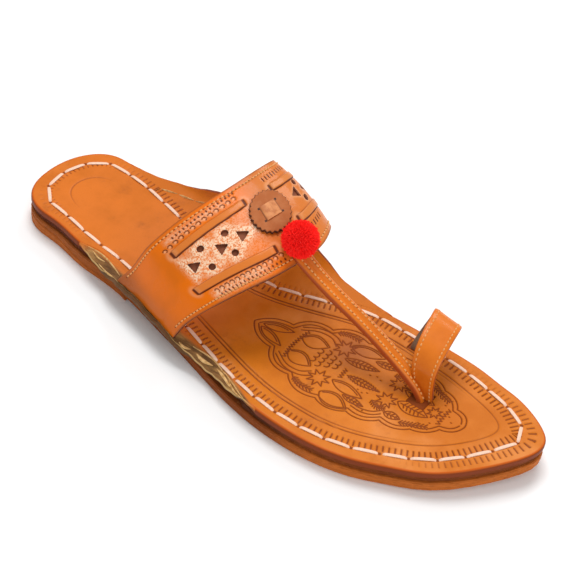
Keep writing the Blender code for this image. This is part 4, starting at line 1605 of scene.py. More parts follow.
def build_foot_bed():
    """The foot bed with its border and burnished edge, and its ornament as a finer sheet."""
    middles = np.linspace(0, 1, BED_COLUMNS)
    places = np.linspace(0, 1, BED_ROWS)
    x, share = foot_bed_plan(places, middles)
    low, high, room = foot_bed_sides(share[:, :1])
    left = low + EDGE_OFFSETS[None, :-1] * room
    right = high - EDGE_OFFSETS[None, -2::-1] * room
    x = np.concatenate([left, x, right], 1)
    share = np.repeat(share[:, :1], x.shape[1], 1)
    rows, columns = x.shape
    upper, groove, rim = foot_bed_surface(x, share, False)
    ring = border_ring(rows, columns)
    lower = upper[ring].copy()
    lower[:, 2] = insole_top(share.ravel()[ring]) - INSOLE
    start = len(upper)
    count = len(ring)
    after = np.roll(np.arange(count), -1)
    walls = np.stack([ring, ring[after], start + after, start + np.arange(count)], -1)
    left_ring = start + count - 1 - np.arange(rows - 2)
    right_ring = start + columns + np.arange(rows - 2)
    floor = np.stack([left_ring[:-1], left_ring[1:], right_ring[1:], right_ring[:-1]], -1)
    first_row, last_row = (int(np.searchsorted(share[:, 0], limit)) for limit in ORNAMENT_SHARES)
    first, last = (round(limit * (BED_COLUMNS - 1)) for limit in ORNAMENT_MIDDLES)
    offset = len(EDGE_OFFSETS) - 1
    kept = np.ones((rows - 1, columns - 1), bool)
    kept[first_row:last_row, first + offset:last + offset] = False
    faces = np.concatenate([grid_faces(rows, columns, 0, True)[kept.ravel()], walls, floor])
    material = foot_bed_leather()
    marks = {"groove": np.append(groove, np.zeros(count)), "rim": np.append(rim, np.ones(count))}
    verts = np.concatenate([upper, lower])
    piece = new_piece("foot_bed", verts, faces, material, marks)
    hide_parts("insole")
    places = finer(places, first_row, last_row)
    middles = finer(middles, first, last)
    x, share = foot_bed_plan(places, middles)
    upper, groove, rim = foot_bed_surface(x, share, True)
    faces = grid_faces(len(places), len(middles), 0, True)
    marks = {"groove": groove, "rim": rim}
    sheet = new_piece("foot_bed_ornament", upper, faces, material, marks)
    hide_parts("insole")


def build_running_stitch():
    """Straight flat thongs between the holes, ends dipping into the leather."""
    holes = stitch_holes()
    width = sizes().stitch_width / 2
    verts, faces = [], []
    chance = random.Random(STITCH_SEED)
    for start, end in zip(holes, np.roll(holes, -1, axis=0)):
        way = unit(end - start)
        side = np.array([-way[1], way[0]])
        start = start + way * STITCH_BACK
        end = end - way * (STITCH_SHORT + STITCH_PLAY * chance.random())
        skew = (chance.random() - 0.5) * STITCH_PLAY
        first = len(verts)
        for t, lift in STITCH_PROFILE:
            belly = math.sin(math.pi * min(max(t, 0.02), 0.98)) ** 0.4
            half = width * (STITCH_TIP + (1 - STITCH_TIP) * belly)
            middle = start + (end - start) * t + side * skew * (t - 0.5)
            floor = float(insole_top(0.5 - middle[1] / LENGTH))
            for across, up in STITCH_SECTION:
                point = middle + side * across * half
                verts.append((point[0], point[1], floor + (lift + up) * MM))
        faces += grid_faces(len(STITCH_PROFILE), len(STITCH_SECTION), first, True).tolist()
    new_piece("running_stitch", verts, faces, thong_leather())


def build_sole_layers():
    """Give the solids of the sole their layered leather edges."""
    tan = chosen("sole")
    dark = chosen("sole_dark")
    # Fore, waist and heel colours: the darker waists are partly painted shade under the ears, the
    # darker heels partly a stain and partly painted shade, and the midsole's dark is its own dye
    finishes = {
        "outsole": (tan, (0.28, 0.068, 0.014), (0.38, 0.100, 0.020)),
        "midsole": ((0.20, 0.048, 0.010), dark, (0.110, 0.022, 0.007)),
        "heel_lift": (tan, tan, (0.50, 0.135, 0.028)),
    }
    for node, shades in finishes.items():
        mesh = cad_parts[node].data
        mesh.materials.clear()
        mesh.materials.append(sole_edge(node + "_leather", *shades))


def build_ear(side, name, material):
    """One ear as a thick sheet between the foot bed and the band's foot."""
    first, last = ear_range(side)
    rows, columns = EAR_ROWS, EAR_COLUMNS
    share = np.linspace(first, last, rows)[:, None]
    across = (1 - (1 - np.linspace(0, 1, columns)) ** EAR_CROWDING)[None, :]
    thick = INSOLE + (EAR - INSOLE) * across
    upper = ear_point(side, share, across, np.zeros((rows, columns)))
    lower = ear_point(side, share, across, -(thick + 0 * share))
    phase = share * 260 + across * 3
    swell = EAR_RIPPLES[side] * (np.sin(phase) * 0.5 + np.sin(phase * 0.37 + 1.0)) * across ** 2
    plan = upper[..., :2].reshape(-1, 2)
    groove = border_marks(plan, 0.5 - plan[:, 1] / LENGTH).reshape(rows, columns)
    if side == "lateral":
        groove = groove * RAW_TOOLING
    from_edge = np.linalg.norm(upper - upper[:, -1:], axis=-1)
    upper[..., 2] += swell - rounded(from_edge, EAR_EDGE) - groove * sizes().groove_depth
    lower[..., 2] += swell
    verts = np.concatenate([upper.reshape(-1, 3), lower.reshape(-1, 3)])
    start = rows * columns
    top = grid_faces(rows, columns, 0, side == "lateral")
    bottom = grid_faces(rows, columns, start, side != "lateral")
    rim = rim_faces(rows, columns, start)
    if side == "lateral":
        rim = rim[:, ::-1]
    nearly = np.clip(1 - from_edge / EAR_EDGE, 0, 1)
    ends = ease(np.minimum(share - first, last - share) / EAR_TAPER)
    grain = 1 - ends * ease((across - EAR_GRAIN[0]) / EAR_GRAIN[1])
    under = np.zeros(start)
    marks = {
        "groove": np.append(groove.ravel(), under),
        "rim": np.append(nearly.ravel(), under + 1),
        "grain": np.append(grain.ravel(), under),
    }
    piece = new_piece(name, verts, np.concatenate([top, bottom, rim]), material, marks)
    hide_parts("ear_" + side)


def ear_thong(side, start, end, bow, width):
    """A narrow lens of thong that lies on an ear: its points and its faces."""
    t = np.linspace(0, 1, EAR_THONG_STEPS)[:, None]
    share = start[0] + (end[0] - start[0]) * t
    across = start[1] + (end[1] - start[1]) * t + bow * np.sin(math.pi * t)
    half = width / 2 * np.sin(math.pi * t) ** 0.8 + EAR_THONG_TIP
    sides = EAR_THONG_SIDES[None, :]
    rise = EAR_THONG_RISE[None, :] * MM * (0.4 + np.sin(math.pi * t))
    reach = (column(EARS[side], 1, share) + column(EARS[side], 2, share)) * INSTEP
    points = ear_point(side, share + 0 * sides, across + sides * half / reach, rise)
    faces = grid_faces(EAR_THONG_STEPS, sides.size, 0, side == "medial")
    return points.reshape(-1, 3), faces


def build_ear_thongs():
    """The short pale thongs on the ears, in front of and behind the band."""
    verts, faces, count = [], [], 0
    for thong in EAR_THONGS:
        points, quads = ear_thong(*thong)
        verts.append(points)
        faces += (quads + count).tolist()
        count += len(points)
    new_piece("ear_thongs", np.concatenate(verts), faces, ear_thong_leather())


def build_ears():
    """Both ears and their thongs."""
    build_ear("lateral", "lateral_ear", raw_leather())
    build_ear("medial", "medial_ear", bpy.data.materials["foot_bed_leather"])
    build_ear_thongs()


def cut_distance(u, v, corners, radius, turn):
    """Signed distance from the border of a round or triangular cut-out, negative inside."""
    if corners > 3:
        return np.sqrt(u * u + v * v) - radius, unit(np.stack([u, v], -1))
    inner = radius / 2
    best = np.full(u.shape, -1e9)
    direction = np.zeros(u.shape + (2,))
    for corner in range(3):
        angle = math.radians(turn + 60 + 120 * corner)
        normal = np.array([math.cos(angle), math.sin(angle)])
        away = u * normal[0] + v * normal[1] - inner
        closer = away > best
        best = np.where(closer, away, best)
        direction[closer] = normal
    return best, direction


class BandSheet:
    """The band's grid, moved onto the borders of its cut-outs, and the marks laid on it."""

    def __init__(self, rows, columns):
        self.along = np.repeat(np.linspace(0, 1, rows)[:, None], columns, 1)
        self.across = np.repeat(np.linspace(0, 1, columns)[None, :], rows, 0)
        self.widths = band_width(self.along[:, :1])
        self.gone = np.zeros((rows - 1, columns - 1), bool)
        self.marks = {}
        near = 0.0
        for at, over, corners, turn in CUT_OUTS:
            away = self.cut(at, over, corners, turn)
            near = np.maximum(near, fade(np.maximum(away - NEAR_CUT[0], 0) / NEAR_CUT[1]))
            if at > FAR_HALF:
                self.mark("halo", 0.5 * fade(np.maximum(away, 0) / FAR_RING))
        panel = within(self.along, *PANEL_ALONG) * within(self.across, *PANEL_ACROSS)
        # The frosted panel with its painted glints, strongest near the cut-outs
        self.mark("frost", panel * (PANEL_FROST_GLINT[0] + PANEL_FROST_GLINT[1] * near))

    def mark(self, name, values):
        """Lay a mark over those of the same name, the stronger one showing."""
        self.marks[name] = np.maximum(self.marks.get(name, 0.0), values)

    def off(self, at, over):
        """How far the grid's places lie from one place, along and across the band."""
        return (self.along - at) * BAND_LENGTH, (self.across - over) * self.widths

    def cut(self, at, over, corners, turn):
        """Cut one opening, and say how far the places lie from its border."""
        radius = HOLE_TRIANGLE if corners == 3 else HOLE_ROUND
        u, v = self.off(at, over)
        away, direction = cut_distance(u, v, corners, radius, turn)
        inside = (away[:-1, :-1] + away[1:, :-1] + away[:-1, 1:] + away[1:, 1:]) < 0
        self.gone |= inside
        rows, columns = away.shape
        touched = np.zeros((rows, columns), int)
        for a in (0, 1):
            for b in (0, 1):
                touched[a:rows - 1 + a, b:columns - 1 + b] += inside
        border = (touched > 0) & (touched < 4)
        moved = self.along - direction[..., 0] * away / BAND_LENGTH
        self.along = np.where(border, moved, self.along)
        moved = self.across - direction[..., 1] * away / self.widths
        self.across = np.where(border, moved, self.across)
        return away

    def row(self, first, last, count):
        """Distances from each place of an even row of small marks."""
        for index in range(count):
            t = index / (count - 1)
            at = first[0] + (last[0] - first[0]) * t
            yield self.off(at, first[1] + (last[1] - first[1]) * t)


def mark_strip(sheet, start, end, across_start, across_end):
    """One woven strip: its raised face, the painted shadow lines beside it, weaker on its upper side,
    and the slots at its ends, darkened as painted shade.
    """
    t = np.clip((sheet.along - start) / (end - start), 0, 1)
    off = (sheet.across - (across_start + (across_end - across_start) * t)) * sheet.widths
    beside = np.abs(off) - STRIP_HALF
    dip = np.minimum(sheet.along - start, end - sheet.along) * BAND_LENGTH
    inside = (dip >= 0) * (1 - ease((beside + STRIP_SHADOW_OFFSET) / STRIP_SOFT))
    sheet.mark("strip", inside)
    sheet.mark("raised", inside * ease((dip + 0.2 * MM) / STRIP_RISE))
    # Painted shadow lines beside the raised strip, weaker on its upper side
    line = fade((beside - STRIP_SHADOW_OFFSET) / STRIP_SHADOW_HALF) * (dip >= 0)
    sheet.mark("groove", line * np.where(off > 0, 1.0, STRIP_UPPER_SHADOW))
    width, straight, soft = STRIP_SLOT
    for place in (start, end):
        du = (sheet.along - place) * BAND_LENGTH
        # Painted shade in the slot
        sheet.mark("groove", fade(du / width, np.maximum(np.abs(off) - straight, 0) / soft))
        ring = np.sqrt((du / STRIP_RING[0]) ** 2 + (off / STRIP_RING[1]) ** 2)
        sheet.mark("halo", STRIP_RING_PALE * fade((ring - STRIP_RING_RADIUS) / STRIP_RING_HALF))


def mark_tooling(sheet):
    """Crescents with painted highlights in their middles, slits and the dents of the machine
    stitches.
    """
    for first, last, count in CRESCENTS:
        for u, v in sheet.row(first, last, count):
            radius = np.sqrt(u * u + v * v)
            ring = CRESCENT_DARK * fade((radius - CRESCENT_RADIUS) / CRESCENT_HALF)
            sheet.mark("groove", ring * ease((u - v + CRESCENT_CUT) / CRESCENT_SOFT))
            # A painted highlight in the crescent's middle
            sheet.mark("halo", fade(radius / CRESCENT_HIGHLIGHT))
    for first, last, count, half in SLITS:
        for u, v in sheet.row(first, last, count):
            beyond = np.maximum(np.abs(v) - half, 0)
            sheet.mark("groove", fade(u / SLIT_HALF, beyond / SLIT_END))
    pitch = sizes().seam_pitch
    for place, begin, finish in BAND_SEAMS:
        off = (sheet.across - place) * sheet.widths
        phase = ((sheet.along * BAND_LENGTH / pitch) % 1.0 - 0.5) * pitch
        sewn = (sheet.along > begin) * (sheet.along < finish)
        sheet.mark("groove", fade(off / SEAM_DENT, phase / SEAM_DENT) * sewn)


def mark_fringes_and_shade(sheet):
    """Frosted fringes with painted glints on the near half, and painted shade at the edges and at the
    lateral foot.
    """
    along, across = sheet.along, sheet.across
    for place, half, strength in FRINGES:
        fringe = strength * within(along, *FRINGE_ALONG)
        sheet.mark("frost", fringe * fade((across - place) / half))
    edge = np.minimum(across, 1 - across) * sheet.widths
    sheet.mark("worn", fade(edge / SHADE_EDGE))
    start, soft, reach = SHADE_FOOT
    foot = 1 - ease((along - start) / soft)
    sheet.mark("worn", foot * (SHADE_FOOT_LEAST + (1 - SHADE_FOOT_LEAST) * (1 - ease(across / reach))))


def band_piece(name, points, faces, material, thick, marks=None):
    """A sheet that follows the band, thickened towards the foot."""
    piece = new_piece(name, points.reshape(-1, 3), faces, material, marks, 50)
    thicken = piece.modifiers.new("thickness", "SOLIDIFY")
    thicken.thickness = thick
    thicken.offset = -1.0
    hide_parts("upper")
    return piece, thicken


def build_band():
    """The instep band: cut-outs, woven strips with painted shadow lines, crescents, slits, a frosted
    panel with painted glints, a painted sheen over its crown and painted shade at its edges and
    lateral foot.
    """
    sheet = BandSheet(*BAND_GRID)
    for strip in STRIPS:
        mark_strip(sheet, *strip)
    mark_tooling(sheet)
    mark_fringes_and_shade(sheet)
    marks = sheet.marks
    here, _, _, outward = band_frame(sheet.along, sheet.across)
    raised = marks.pop("raised") * STRIP_RAISE - marks["groove"] * BAND_TOOLING
    marks["frost"] = np.clip(marks["frost"], 0, 1) * (1 - marks["strip"])
    marks["halo"] = marks["halo"] * (1 - marks["groove"])
    # Painted pale sheen over the band's crown
    marks["crown"] = ease((sheet.along - BAND_CROWN_SHEEN[0]) / BAND_CROWN_SHEEN[1])
    points = here + outward * raised[..., None]
    faces = grid_faces(*BAND_GRID)[~sheet.gone.ravel()]
    piece, thicken = band_piece("instep_band", points, faces, band_leather(), BAND, marks)
    piece.data.materials.append(cut_edge_leather())
    thicken.material_offset_rim = 1


def build_band_lining():
    """The brown lining that closes the cut-outs from inside."""
    rows, columns = LINING_GRID
    along = np.repeat(np.linspace(*LINING_ALONG, rows)[:, None], columns, 1)
    across = np.repeat(np.linspace(*LINING_ACROSS, columns)[None, :], rows, 0)
    here, _, _, outward = band_frame(along, across)
    points = here - outward * LINING_DEPTH
    faces = grid_faces(rows, columns)
    band_piece("band_lining", points, faces, lining_leather(), LINING_THICK)


def ribbon_frames(rows, steps):
    """Centres, width directions and up directions along a strap's rows."""
    centres, wides, halves, thicks = (np.array([row[place] for row in rows]) for place in range(4))
    lengths = running_length(centres)
    at = np.linspace(0, lengths[-1], steps + 1)
    reach = lengths[-1] / steps / 4
    after = curve(lengths, centres, np.minimum(at + reach, lengths[-1]))
    before = curve(lengths, centres, np.maximum(at - reach, 0))
    ahead = unit(after - before)
    wide = curve(lengths, wides, at)
    up = unit(np.cross(wide, ahead))
    wide = unit(np.cross(ahead, up))
    centre = curve(lengths, centres, at)
    return at, centre, wide, up, curve(lengths, halves, at), curve(lengths, thicks, at)


def strap_rows():
    """Rows of the toe strap: centre, width direction, half width and thickness."""
    rows = []
    count = len(STRAP_ON_BAND)
    here, length, _, outward = band_frame(np.full(count, STRAP_ALONG), np.array(STRAP_ON_BAND))
    for place in range(count):
        centre = here[place] + outward[place] * (STRAP_THICK / 2 - STRAP_SINK)
        rows.append((centre, -length[place], STRAP_HALF, STRAP_THICK))
    for at, half, thick in TOE_STRAP:
        rows.append((sole_point(at), np.array([-1.0, 0.0, 0.0]), half, thick))
    return rows


def loop_rows():
    """The same rows for the toe loop."""
    wide = np.array([0.0, -1.0, -LOOP_TILT])
    return [(sole_point(at), wide, half, LOOP_THICK) for at, half in TOE_LOOP]


def ribbon(name, rows, steps, half_section, seam, material):
    """A strap swept along its rows, with dark stitch marks and its lower side marked."""
    at, centre, wide, up, half, thick = ribbon_frames(rows, steps)
    section = half_section + [(-a, b) for a, b in half_section[-2::-1]]
    section = section + [(-0.5, -0.5), (0.0, -0.5), (0.5, -0.5)]
    verts, groove, side, flesh = [], [], [], []
    pitch = sizes().seam_pitch
    for index in range(len(at)):
        mark = SEAM_MARKS[0] if (at[index] / pitch) % 1.0 < SEAM_HOLE else SEAM_MARKS[1]
        for a, b in section:
            out = wide[index] * half[index] * a + up[index] * thick[index] * b
            verts.append(centre[index] + out)
            near = abs(abs(a) - seam) < SEAM_REACH
            groove.append(mark if near and b > 0 else 0.0)
            side.append(1.0 if abs(a) > 0.96 and b < 0.3 else 0.0)
            flesh.append(1.0 if b <= -0.5 and abs(a) < 0.98 else 0.0)
    count = len(section)
    index = np.arange(len(at) * count).reshape(len(at), count)
    after = np.roll(index, -1, axis=1)
    quads = np.stack([index[:-1], after[:-1], after[1:], index[1:]], -1).reshape(-1, 4)
    faces = quads.tolist() + [index[0, ::-1].tolist(), index[-1].tolist()]
    marks = {"groove": groove, "side": side, "flesh": flesh}
    return new_piece(name, verts, faces, material, marks, 60)


def build_toe_strap():
    """The toe strap, the toe loop and all seams."""
    material = strap_leather()
    strap = ribbon("toe_strap", strap_rows(), STRAP_STEPS, RIBBED, STRAP_SEAM[0], material)
    loop = ribbon("toe_loop", loop_rows(), LOOP_STEPS, PLAIN, LOOP_SEAM[0], material)
    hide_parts("upper")
    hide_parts("upper")
    build_seams()


def seam_bead(centre, ahead, up, first):
    """One small rounded stitch, its vertices numbered from first."""
    half_length, half_width, height = SEAM_BEAD
    side = np.cross(up, ahead)
    verts = [centre - ahead * half_length - up * height * 0.3]
    for t in (-0.55, 0.55):
        for a, b in ((-1, -0.2), (-0.6, 0.8), (0.6, 0.8), (1, -0.2)):
            verts.append(centre + ahead * half_length * t + side * half_width * a + up * height * b)
    verts.append(centre + ahead * half_length - up * height * 0.3)
    faces = []
    for a in range(first, first + 3):
        faces.append([first, a + 1, a + 2])
        faces.append([a + 1, a + 5, a + 6, a + 2])
        faces.append([first + 9, a + 6, a + 5])
    return verts, faces


def band_seam(place, begin, finish):
    """Centres, ahead and up directions of the stitches of one seam on the band."""
    pitch = sizes().seam_pitch
    count = int((finish - begin) * BAND_LENGTH / pitch)
    offset = math.ceil(begin * BAND_LENGTH / pitch)
    along = (offset + np.arange(count)) * pitch / BAND_LENGTH
    here, length, _, outward = band_frame(along, np.full(count, place))
    return list(zip(here + outward * SEAM_RAISE, length, outward))


def strap_seams(rows, share, lift):
    """The same for both seams of a strap."""
    pitch = sizes().seam_pitch
    at, centre, wide, up, half, thick = ribbon_frames(rows, SEAM_STEPS)
    stitches = []
    for side in (-1, 1):
        for index in range(1, int(at[-1] / pitch)):
            k = int(index * pitch / at[-1] * SEAM_STEPS)
            point = centre[k] + wide[k] * half[k] * share * side + up[k] * thick[k] * lift
            ahead = unit(centre[min(k + 1, SEAM_STEPS)] - centre[max(k - 1, 0)])
            stitches.append((point, ahead, up[k]))
    return stitches


def build_seams():
    """Machine stitches along the band's edges, the toe strap's ribs and the toe loop."""
    stitches = []
    for seam in BAND_SEAMS:
        stitches += band_seam(*seam)
    stitches += strap_seams(strap_rows(), *STRAP_SEAM)
    stitches += strap_seams(loop_rows(), *LOOP_SEAM)
    verts, faces = [], []
    for stitch in stitches:
        points, quads = seam_bead(*stitch, len(verts))
        verts += points
        faces += quads
    new_piece("seam_stitches", verts, faces, seam_thread(), sharp=80)


def on_band(x, y, offset):
    """Points over the band, at distances from the medallion's middle."""
    along = MEDALLION_ALONG + x / BAND_LENGTH
    across = MEDALLION_ACROSS + y / band_width(MEDALLION_ALONG)
    here, _, _, outward = band_frame(along, across)
    return here + outward * (GAP + offset)


def build_medallion():
    """The pinked disc with its woven square tab."""
    spokes = 4 * MEDALLION_TEETH
    angle = np.arange(spokes) * 2 * math.pi / spokes
    tooth = np.abs((np.arange(spokes) % 4) - 2) / 2
    verts, edge = [], []
    for ring in MEDALLION_RINGS:
        last = ring == MEDALLION_RINGS[-1]
        cut = MEDALLION_TOOTH * tooth * (ring > MEDALLION_CUT)
        x = (MEDALLION_WIDE - cut) * ring * np.cos(angle)
        y = (MEDALLION_LONG - cut) * ring * np.sin(angle)
        verts.append(on_band(x, y, MEDALLION_THICK - (MEDALLION_BEVEL if last else 0.0)))
        edge.append(np.full(spokes, float(last)))
    verts.append(on_band(x, y, 0.0))
    edge.append(np.ones(spokes))
    index = np.arange(len(verts) * spokes).reshape(-1, spokes)
    after = np.roll(index, -1, axis=1)
    faces = np.stack([index[1:-1], index[2:], after[2:], after[1:-1]], -1).reshape(-1, 4).tolist()
    faces += [[index[1, spoke], after[1, spoke], index[0, 0]] for spoke in range(spokes)]
    verts = np.concatenate(verts)
    marks = {"edge": np.concatenate(edge)}
    material = medallion_leather()
    piece = new_piece("medallion_disc", verts, faces, material, marks)
    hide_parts("medallion")
    build_woven_tab()
    build_tab_slits()


def build_woven_tab():
    """The pale square tab that is woven through the medallion."""
    t = np.linspace(-1, 1, WEAVE_STEPS)
    u, v = np.meshgrid(t, t, indexing="ij")
    bend = np.abs(u) ** WEAVE_POWER
    arch = WEAVE_RAISE * (1 - WEAVE_FALL * bend)
    x = u * WEAVE_HALF
    y = v * WEAVE_HALF * WEAVE_SHORT
    top = on_band(x, y, MEDALLION_THICK + arch[..., None])
    low = on_band(x, y, MEDALLION_THICK * 0.5)
    verts = np.concatenate([top.reshape(-1, 3), low.reshape(-1, 3)])
    rim = rim_faces(WEAVE_STEPS, WEAVE_STEPS, u.size)[:, ::-1]
    faces = np.concatenate([grid_faces(WEAVE_STEPS, WEAVE_STEPS), rim])
    marks = {"edge": np.append(bend.ravel(), np.ones(u.size))}
    new_piece("woven_tab", verts, faces, tab_leather(), marks)


def build_tab_slits():
    """The dark slits that the tab goes through."""
    verts, faces = [], []
    for sign in (-1, 1):
        start = len(verts)
        middle = sign * (WEAVE_HALF + TAB_SLIT_GAP)
        for a, b in ((-1, -1), (1, -1), (1, 1), (-1, 1)):
            x = np.array(middle + a * TAB_SLIT_HALF)
            y = np.array(b * TAB_SLIT_LONG * WEAVE_HALF)
            verts.append(on_band(x, y, MEDALLION_THICK + TAB_SLIT_RAISE))
        faces.append([start, start + 3, start + 2, start + 1])
    new_piece("tab_slits", verts, faces, slit_dark())


def wool_strand(chance, outward, radius):
    """One strand about the pompom's middle: points, share of the radius and paleness."""
    z = chance.uniform(-1, 1)
    angle = chance.uniform(0, 2 * math.pi)
    flat = math.sqrt(1 - z * z)
    way = np.array([flat * math.cos(angle), flat * math.sin(angle), z])
    if way @ -outward > WOOL_FREE:
        return None
    low, high, more = WOOL_REACH
    reach = radius * (chance.uniform(low, high) + more * chance.random() ** 3)
    side = unit(np.cross(way, STRAND_LEAN))
    other = np.cross(way, side)
    bend = side * chance.uniform(-1, 1) + other * chance.uniform(-1, 1)
    thick = STRAND_HALF * chance.uniform(0.8, 1.3)
    pale = chance.random() ** 2
    points, depth = [], []
    for t, fat in STRAND_ROWS:
        middle = way * reach * t + bend * STRAND_BEND * t ** 3
        for corner in range(3):
            turn = 2 * math.pi * corner / 3
            out = side * math.cos(turn) + other * math.sin(turn)
            points.append(middle + out * thick * fat)
            depth.append(t * reach / radius)
    return points, depth, pale


def strand_faces(first):
    """Sides and tip of one strand, its vertices numbered from first."""
    faces = []
    for ring in (first, first + 3):
        for corner in range(3):
            beside = ring + (corner + 1) % 3
            faces.append([ring + corner, beside, beside + 3, ring + 3 + corner])
    return faces + [[first + 6, first + 7, first + 8]]


def build_pompom():
    """A ball of short wool strands over a soft core."""
    here, _, _, outward = band_frame(POMPOM_ALONG, POMPOM_ACROSS)
    centre = here + outward * (STRAP_THICK - STRAP_SINK + GAP + POMPOM_BASE)
    chance = random.Random(POMPOM_SEED)
    radius = sizes().pompom_radius
    verts, faces, depths, tufts = [], [], [], []
    for _ in range(sizes().pompom_strands):
        strand = wool_strand(chance, outward, radius)
        if strand:
            points, depth, pale = strand
            faces += strand_faces(len(verts))
            verts += [centre + point for point in points]
            depths += depth
            tufts += [pale] * len(points)
    core = bmesh.new()
    bmesh.ops.create_icosphere(core, subdivisions=4, radius=radius * WOOL_CORE)
    start = len(verts)
    for vert in core.verts:
        way = np.array(vert.co)
        low = min(0.0, way @ outward + POMPOM_BASE - GAP)
        verts.append(centre + way - outward * low)
        depths.append(WOOL_CORE)
        tufts.append(0.0)
    faces += [[start + vert.index for vert in face.verts] for face in core.faces]
    core.free()
    marks = {"depth": depths, "tuft": tufts}
    piece = new_piece("pompom_wool", verts, faces, wool_finish(), marks, 80)
    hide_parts("pompom")


def aim_light(name, place, target, power, size):
    """A round soft lamp that looks at its target."""
    data = bpy.data.lights.new(name, "AREA")
    data.energy = power
    data.shape = "DISK"
    data.size = size
    light = bpy.data.objects.new(name, data)
    light.location = place
    light.rotation_euler = (Vector(target) - Vector(place)).to_track_quat("-Z", "Y").to_euler()
    bpy.context.scene.collection.objects.link(light)


def build_camera():
    """The photograph's camera: its angle, its roll and its framing."""
    stage = bpy.context.scene.chappal_stage
    a, e = stage.azimuth, stage.elevation
    back = Vector((math.sin(a) * math.cos(e), -math.cos(a) * math.cos(e), math.sin(e)))
    right = Vector((math.cos(a), math.sin(a), 0.0))
    up = back.cross(right)
    turned_right = right * math.cos(stage.roll) + up * math.sin(stage.roll)
    turned_up = back.cross(turned_right)
    data = bpy.data.cameras.new("camera")
    data.sensor_width = SENSOR
    data.lens = FOCAL * SENSOR / PICTURE
    data.shift_x = (PICTURE / 2 - PICTURE_MIDDLE[0]) / PICTURE
    data.shift_y = (PICTURE_MIDDLE[1] - PICTURE / 2) / PICTURE
    data.clip_start = 0.01
    camera = bpy.data.objects.new("camera", data)
    place = Vector((AXIS_X, 0.0, 0.0)) + back * stage.distance
    turn = Matrix((turned_right, turned_up, back)).transposed().to_4x4()
    camera.matrix_world = Matrix.Translation(place) @ turn
    bpy.context.scene.collection.objects.link(camera)
    bpy.context.scene.camera = camera


def build_stage():
    """White floor, soft lights from above, behind and in front, and the camera."""
    data = bpy.data.meshes.new("studio_floor")
    corners = [(-1, -1, 0), (1, -1, 0), (1, 1, 0), (-1, 1, 0)]
    corners = [Vector(corner) * FLOOR_HALF for corner in corners]
    data.from_pydata(corners, [], [(0, 1, 2, 3)])
    data.materials.append(Finish("studio_floor", (0.95, 0.95, 0.95)).apply(0.9))
    floor = bpy.data.objects.new("studio_floor", data)
    bpy.context.scene.collection.objects.link(floor)
    world = bpy.data.worlds.new("studio")
    world.use_nodes = True
    room = world.node_tree.nodes["Background"]
    room.inputs["Color"].default_value = (1.0, 1.0, 1.0, 1.0)
    room.inputs["Strength"].default_value = ROOM_LIGHT
    bpy.context.scene.world = world
    for light in LIGHTS:
        aim_light(*light)
    view = bpy.context.scene.view_settings
    view.view_transform = "Standard"
    view.look = "None"
    build_camera()


# Operators, panel and registration


class CHAPPAL_OT_foot_bed(bpy.types.Operator):
    """Build the foot bed and its running stitch"""

    bl_idname = "chappal.foot_bed"
    bl_label = "Foot Bed"

    def execute(self, context):
        build_foot_bed()
        build_running_stitch()
        return {"FINISHED"}


class CHAPPAL_OT_sole_layers(bpy.types.Operator):
    """Give the midsole, outsole and heel lift their leather"""

    bl_idname = "chappal.sole_layers"
    bl_label = "Sole Layers"

    def execute(self, context):
        build_sole_layers()
        return {"FINISHED"}


class CHAPPAL_OT_ears(bpy.types.Operator):
    """Build the raw and the grain side ear"""

    bl_idname = "chappal.ears"
    bl_label = "Ears"

    def execute(self, context):
        build_ears()
        return {"FINISHED"}


class CHAPPAL_OT_band(bpy.types.Operator):
    """Build the punched instep band and its lining"""

    bl_idname = "chappal.band"
    bl_label = "Instep Band"

    def execute(self, context):
        build_band()
        build_band_lining()
        return {"FINISHED"}


class CHAPPAL_OT_toe_strap(bpy.types.Operator):
    """Build the toe strap, the toe loop and their stitches"""

    bl_idname = "chappal.toe_strap"
    bl_label = "Toe Strap and Loop"

    def execute(self, context):
        build_toe_strap()
        return {"FINISHED"}


class CHAPPAL_OT_medallion(bpy.types.Operator):
    """Build the pinked medallion and its woven tab"""

    bl_idname = "chappal.medallion"
    bl_label = "Medallion"

    def execute(self, context):
        build_medallion()
        return {"FINISHED"}


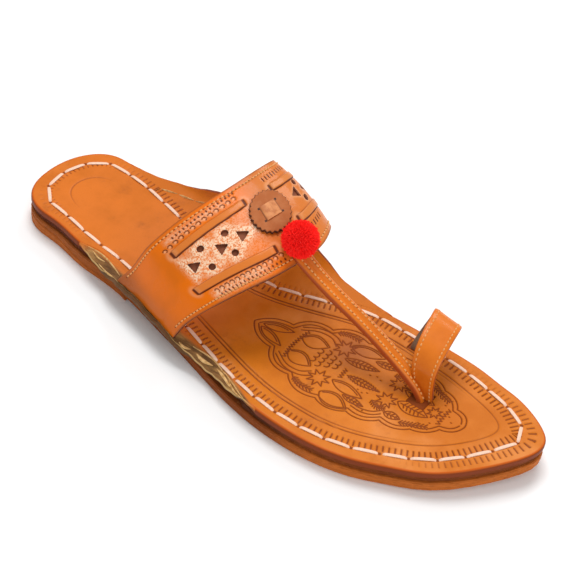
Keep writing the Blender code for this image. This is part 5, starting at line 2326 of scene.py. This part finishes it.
class CHAPPAL_OT_pompom(bpy.types.Operator):
    """Build the wool pompom"""

    bl_idname = "chappal.pompom"
    bl_label = "Pompom"

    def execute(self, context):
        build_pompom()
        return {"FINISHED"}


class CHAPPAL_OT_stage(bpy.types.Operator):
    """Build the floor, the lights and the camera"""

    bl_idname = "chappal.stage"
    bl_label = "Stage"

    def execute(self, context):
        build_stage()
        return {"FINISHED"}


class CHAPPAL_PT_panel(bpy.types.Panel):
    """Sizes, colours and steps of the chappal"""

    bl_idname = "CHAPPAL_PT_panel"
    bl_label = "Chappal"
    bl_space_type = "VIEW_3D"
    bl_region_type = "UI"
    bl_category = "Chappal"

    def draw(self, context):
        scene = context.scene
        for group in (scene.chappal_sizes, scene.chappal_colours, scene.chappal_stage):
            box = self.layout.box()
            for name in group.bl_rna.properties.keys():
                if name not in {"rna_type", "name"}:
                    box.prop(group, name)
        for step in STEPS:
            self.layout.operator(step.bl_idname)


STEPS = (
    CHAPPAL_OT_foot_bed,
    CHAPPAL_OT_sole_layers,
    CHAPPAL_OT_ears,
    CHAPPAL_OT_band,
    CHAPPAL_OT_toe_strap,
    CHAPPAL_OT_medallion,
    CHAPPAL_OT_pompom,
    CHAPPAL_OT_stage,
)
CLASSES = (ChappalSizes, ChappalColours, ChappalStage) + STEPS + (CHAPPAL_PT_panel,)


def register():
    for item in CLASSES:
        bpy.utils.register_class(item)
    bpy.types.Scene.chappal_sizes = bpy.props.PointerProperty(type=ChappalSizes)
    bpy.types.Scene.chappal_colours = bpy.props.PointerProperty(type=ChappalColours)
    bpy.types.Scene.chappal_stage = bpy.props.PointerProperty(type=ChappalStage)


def unregister():
    del bpy.types.Scene.chappal_stage
    del bpy.types.Scene.chappal_colours
    del bpy.types.Scene.chappal_sizes
    for item in reversed(CLASSES):
        bpy.utils.unregister_class(item)


def main():
    register()
    bpy.ops.chappal.foot_bed()
    bpy.ops.chappal.sole_layers()
    bpy.ops.chappal.ears()
    bpy.ops.chappal.band()
    bpy.ops.chappal.toe_strap()
    bpy.ops.chappal.medallion()
    bpy.ops.chappal.pompom()
    bpy.ops.chappal.stage()


if __name__ == "__main__":
    main()
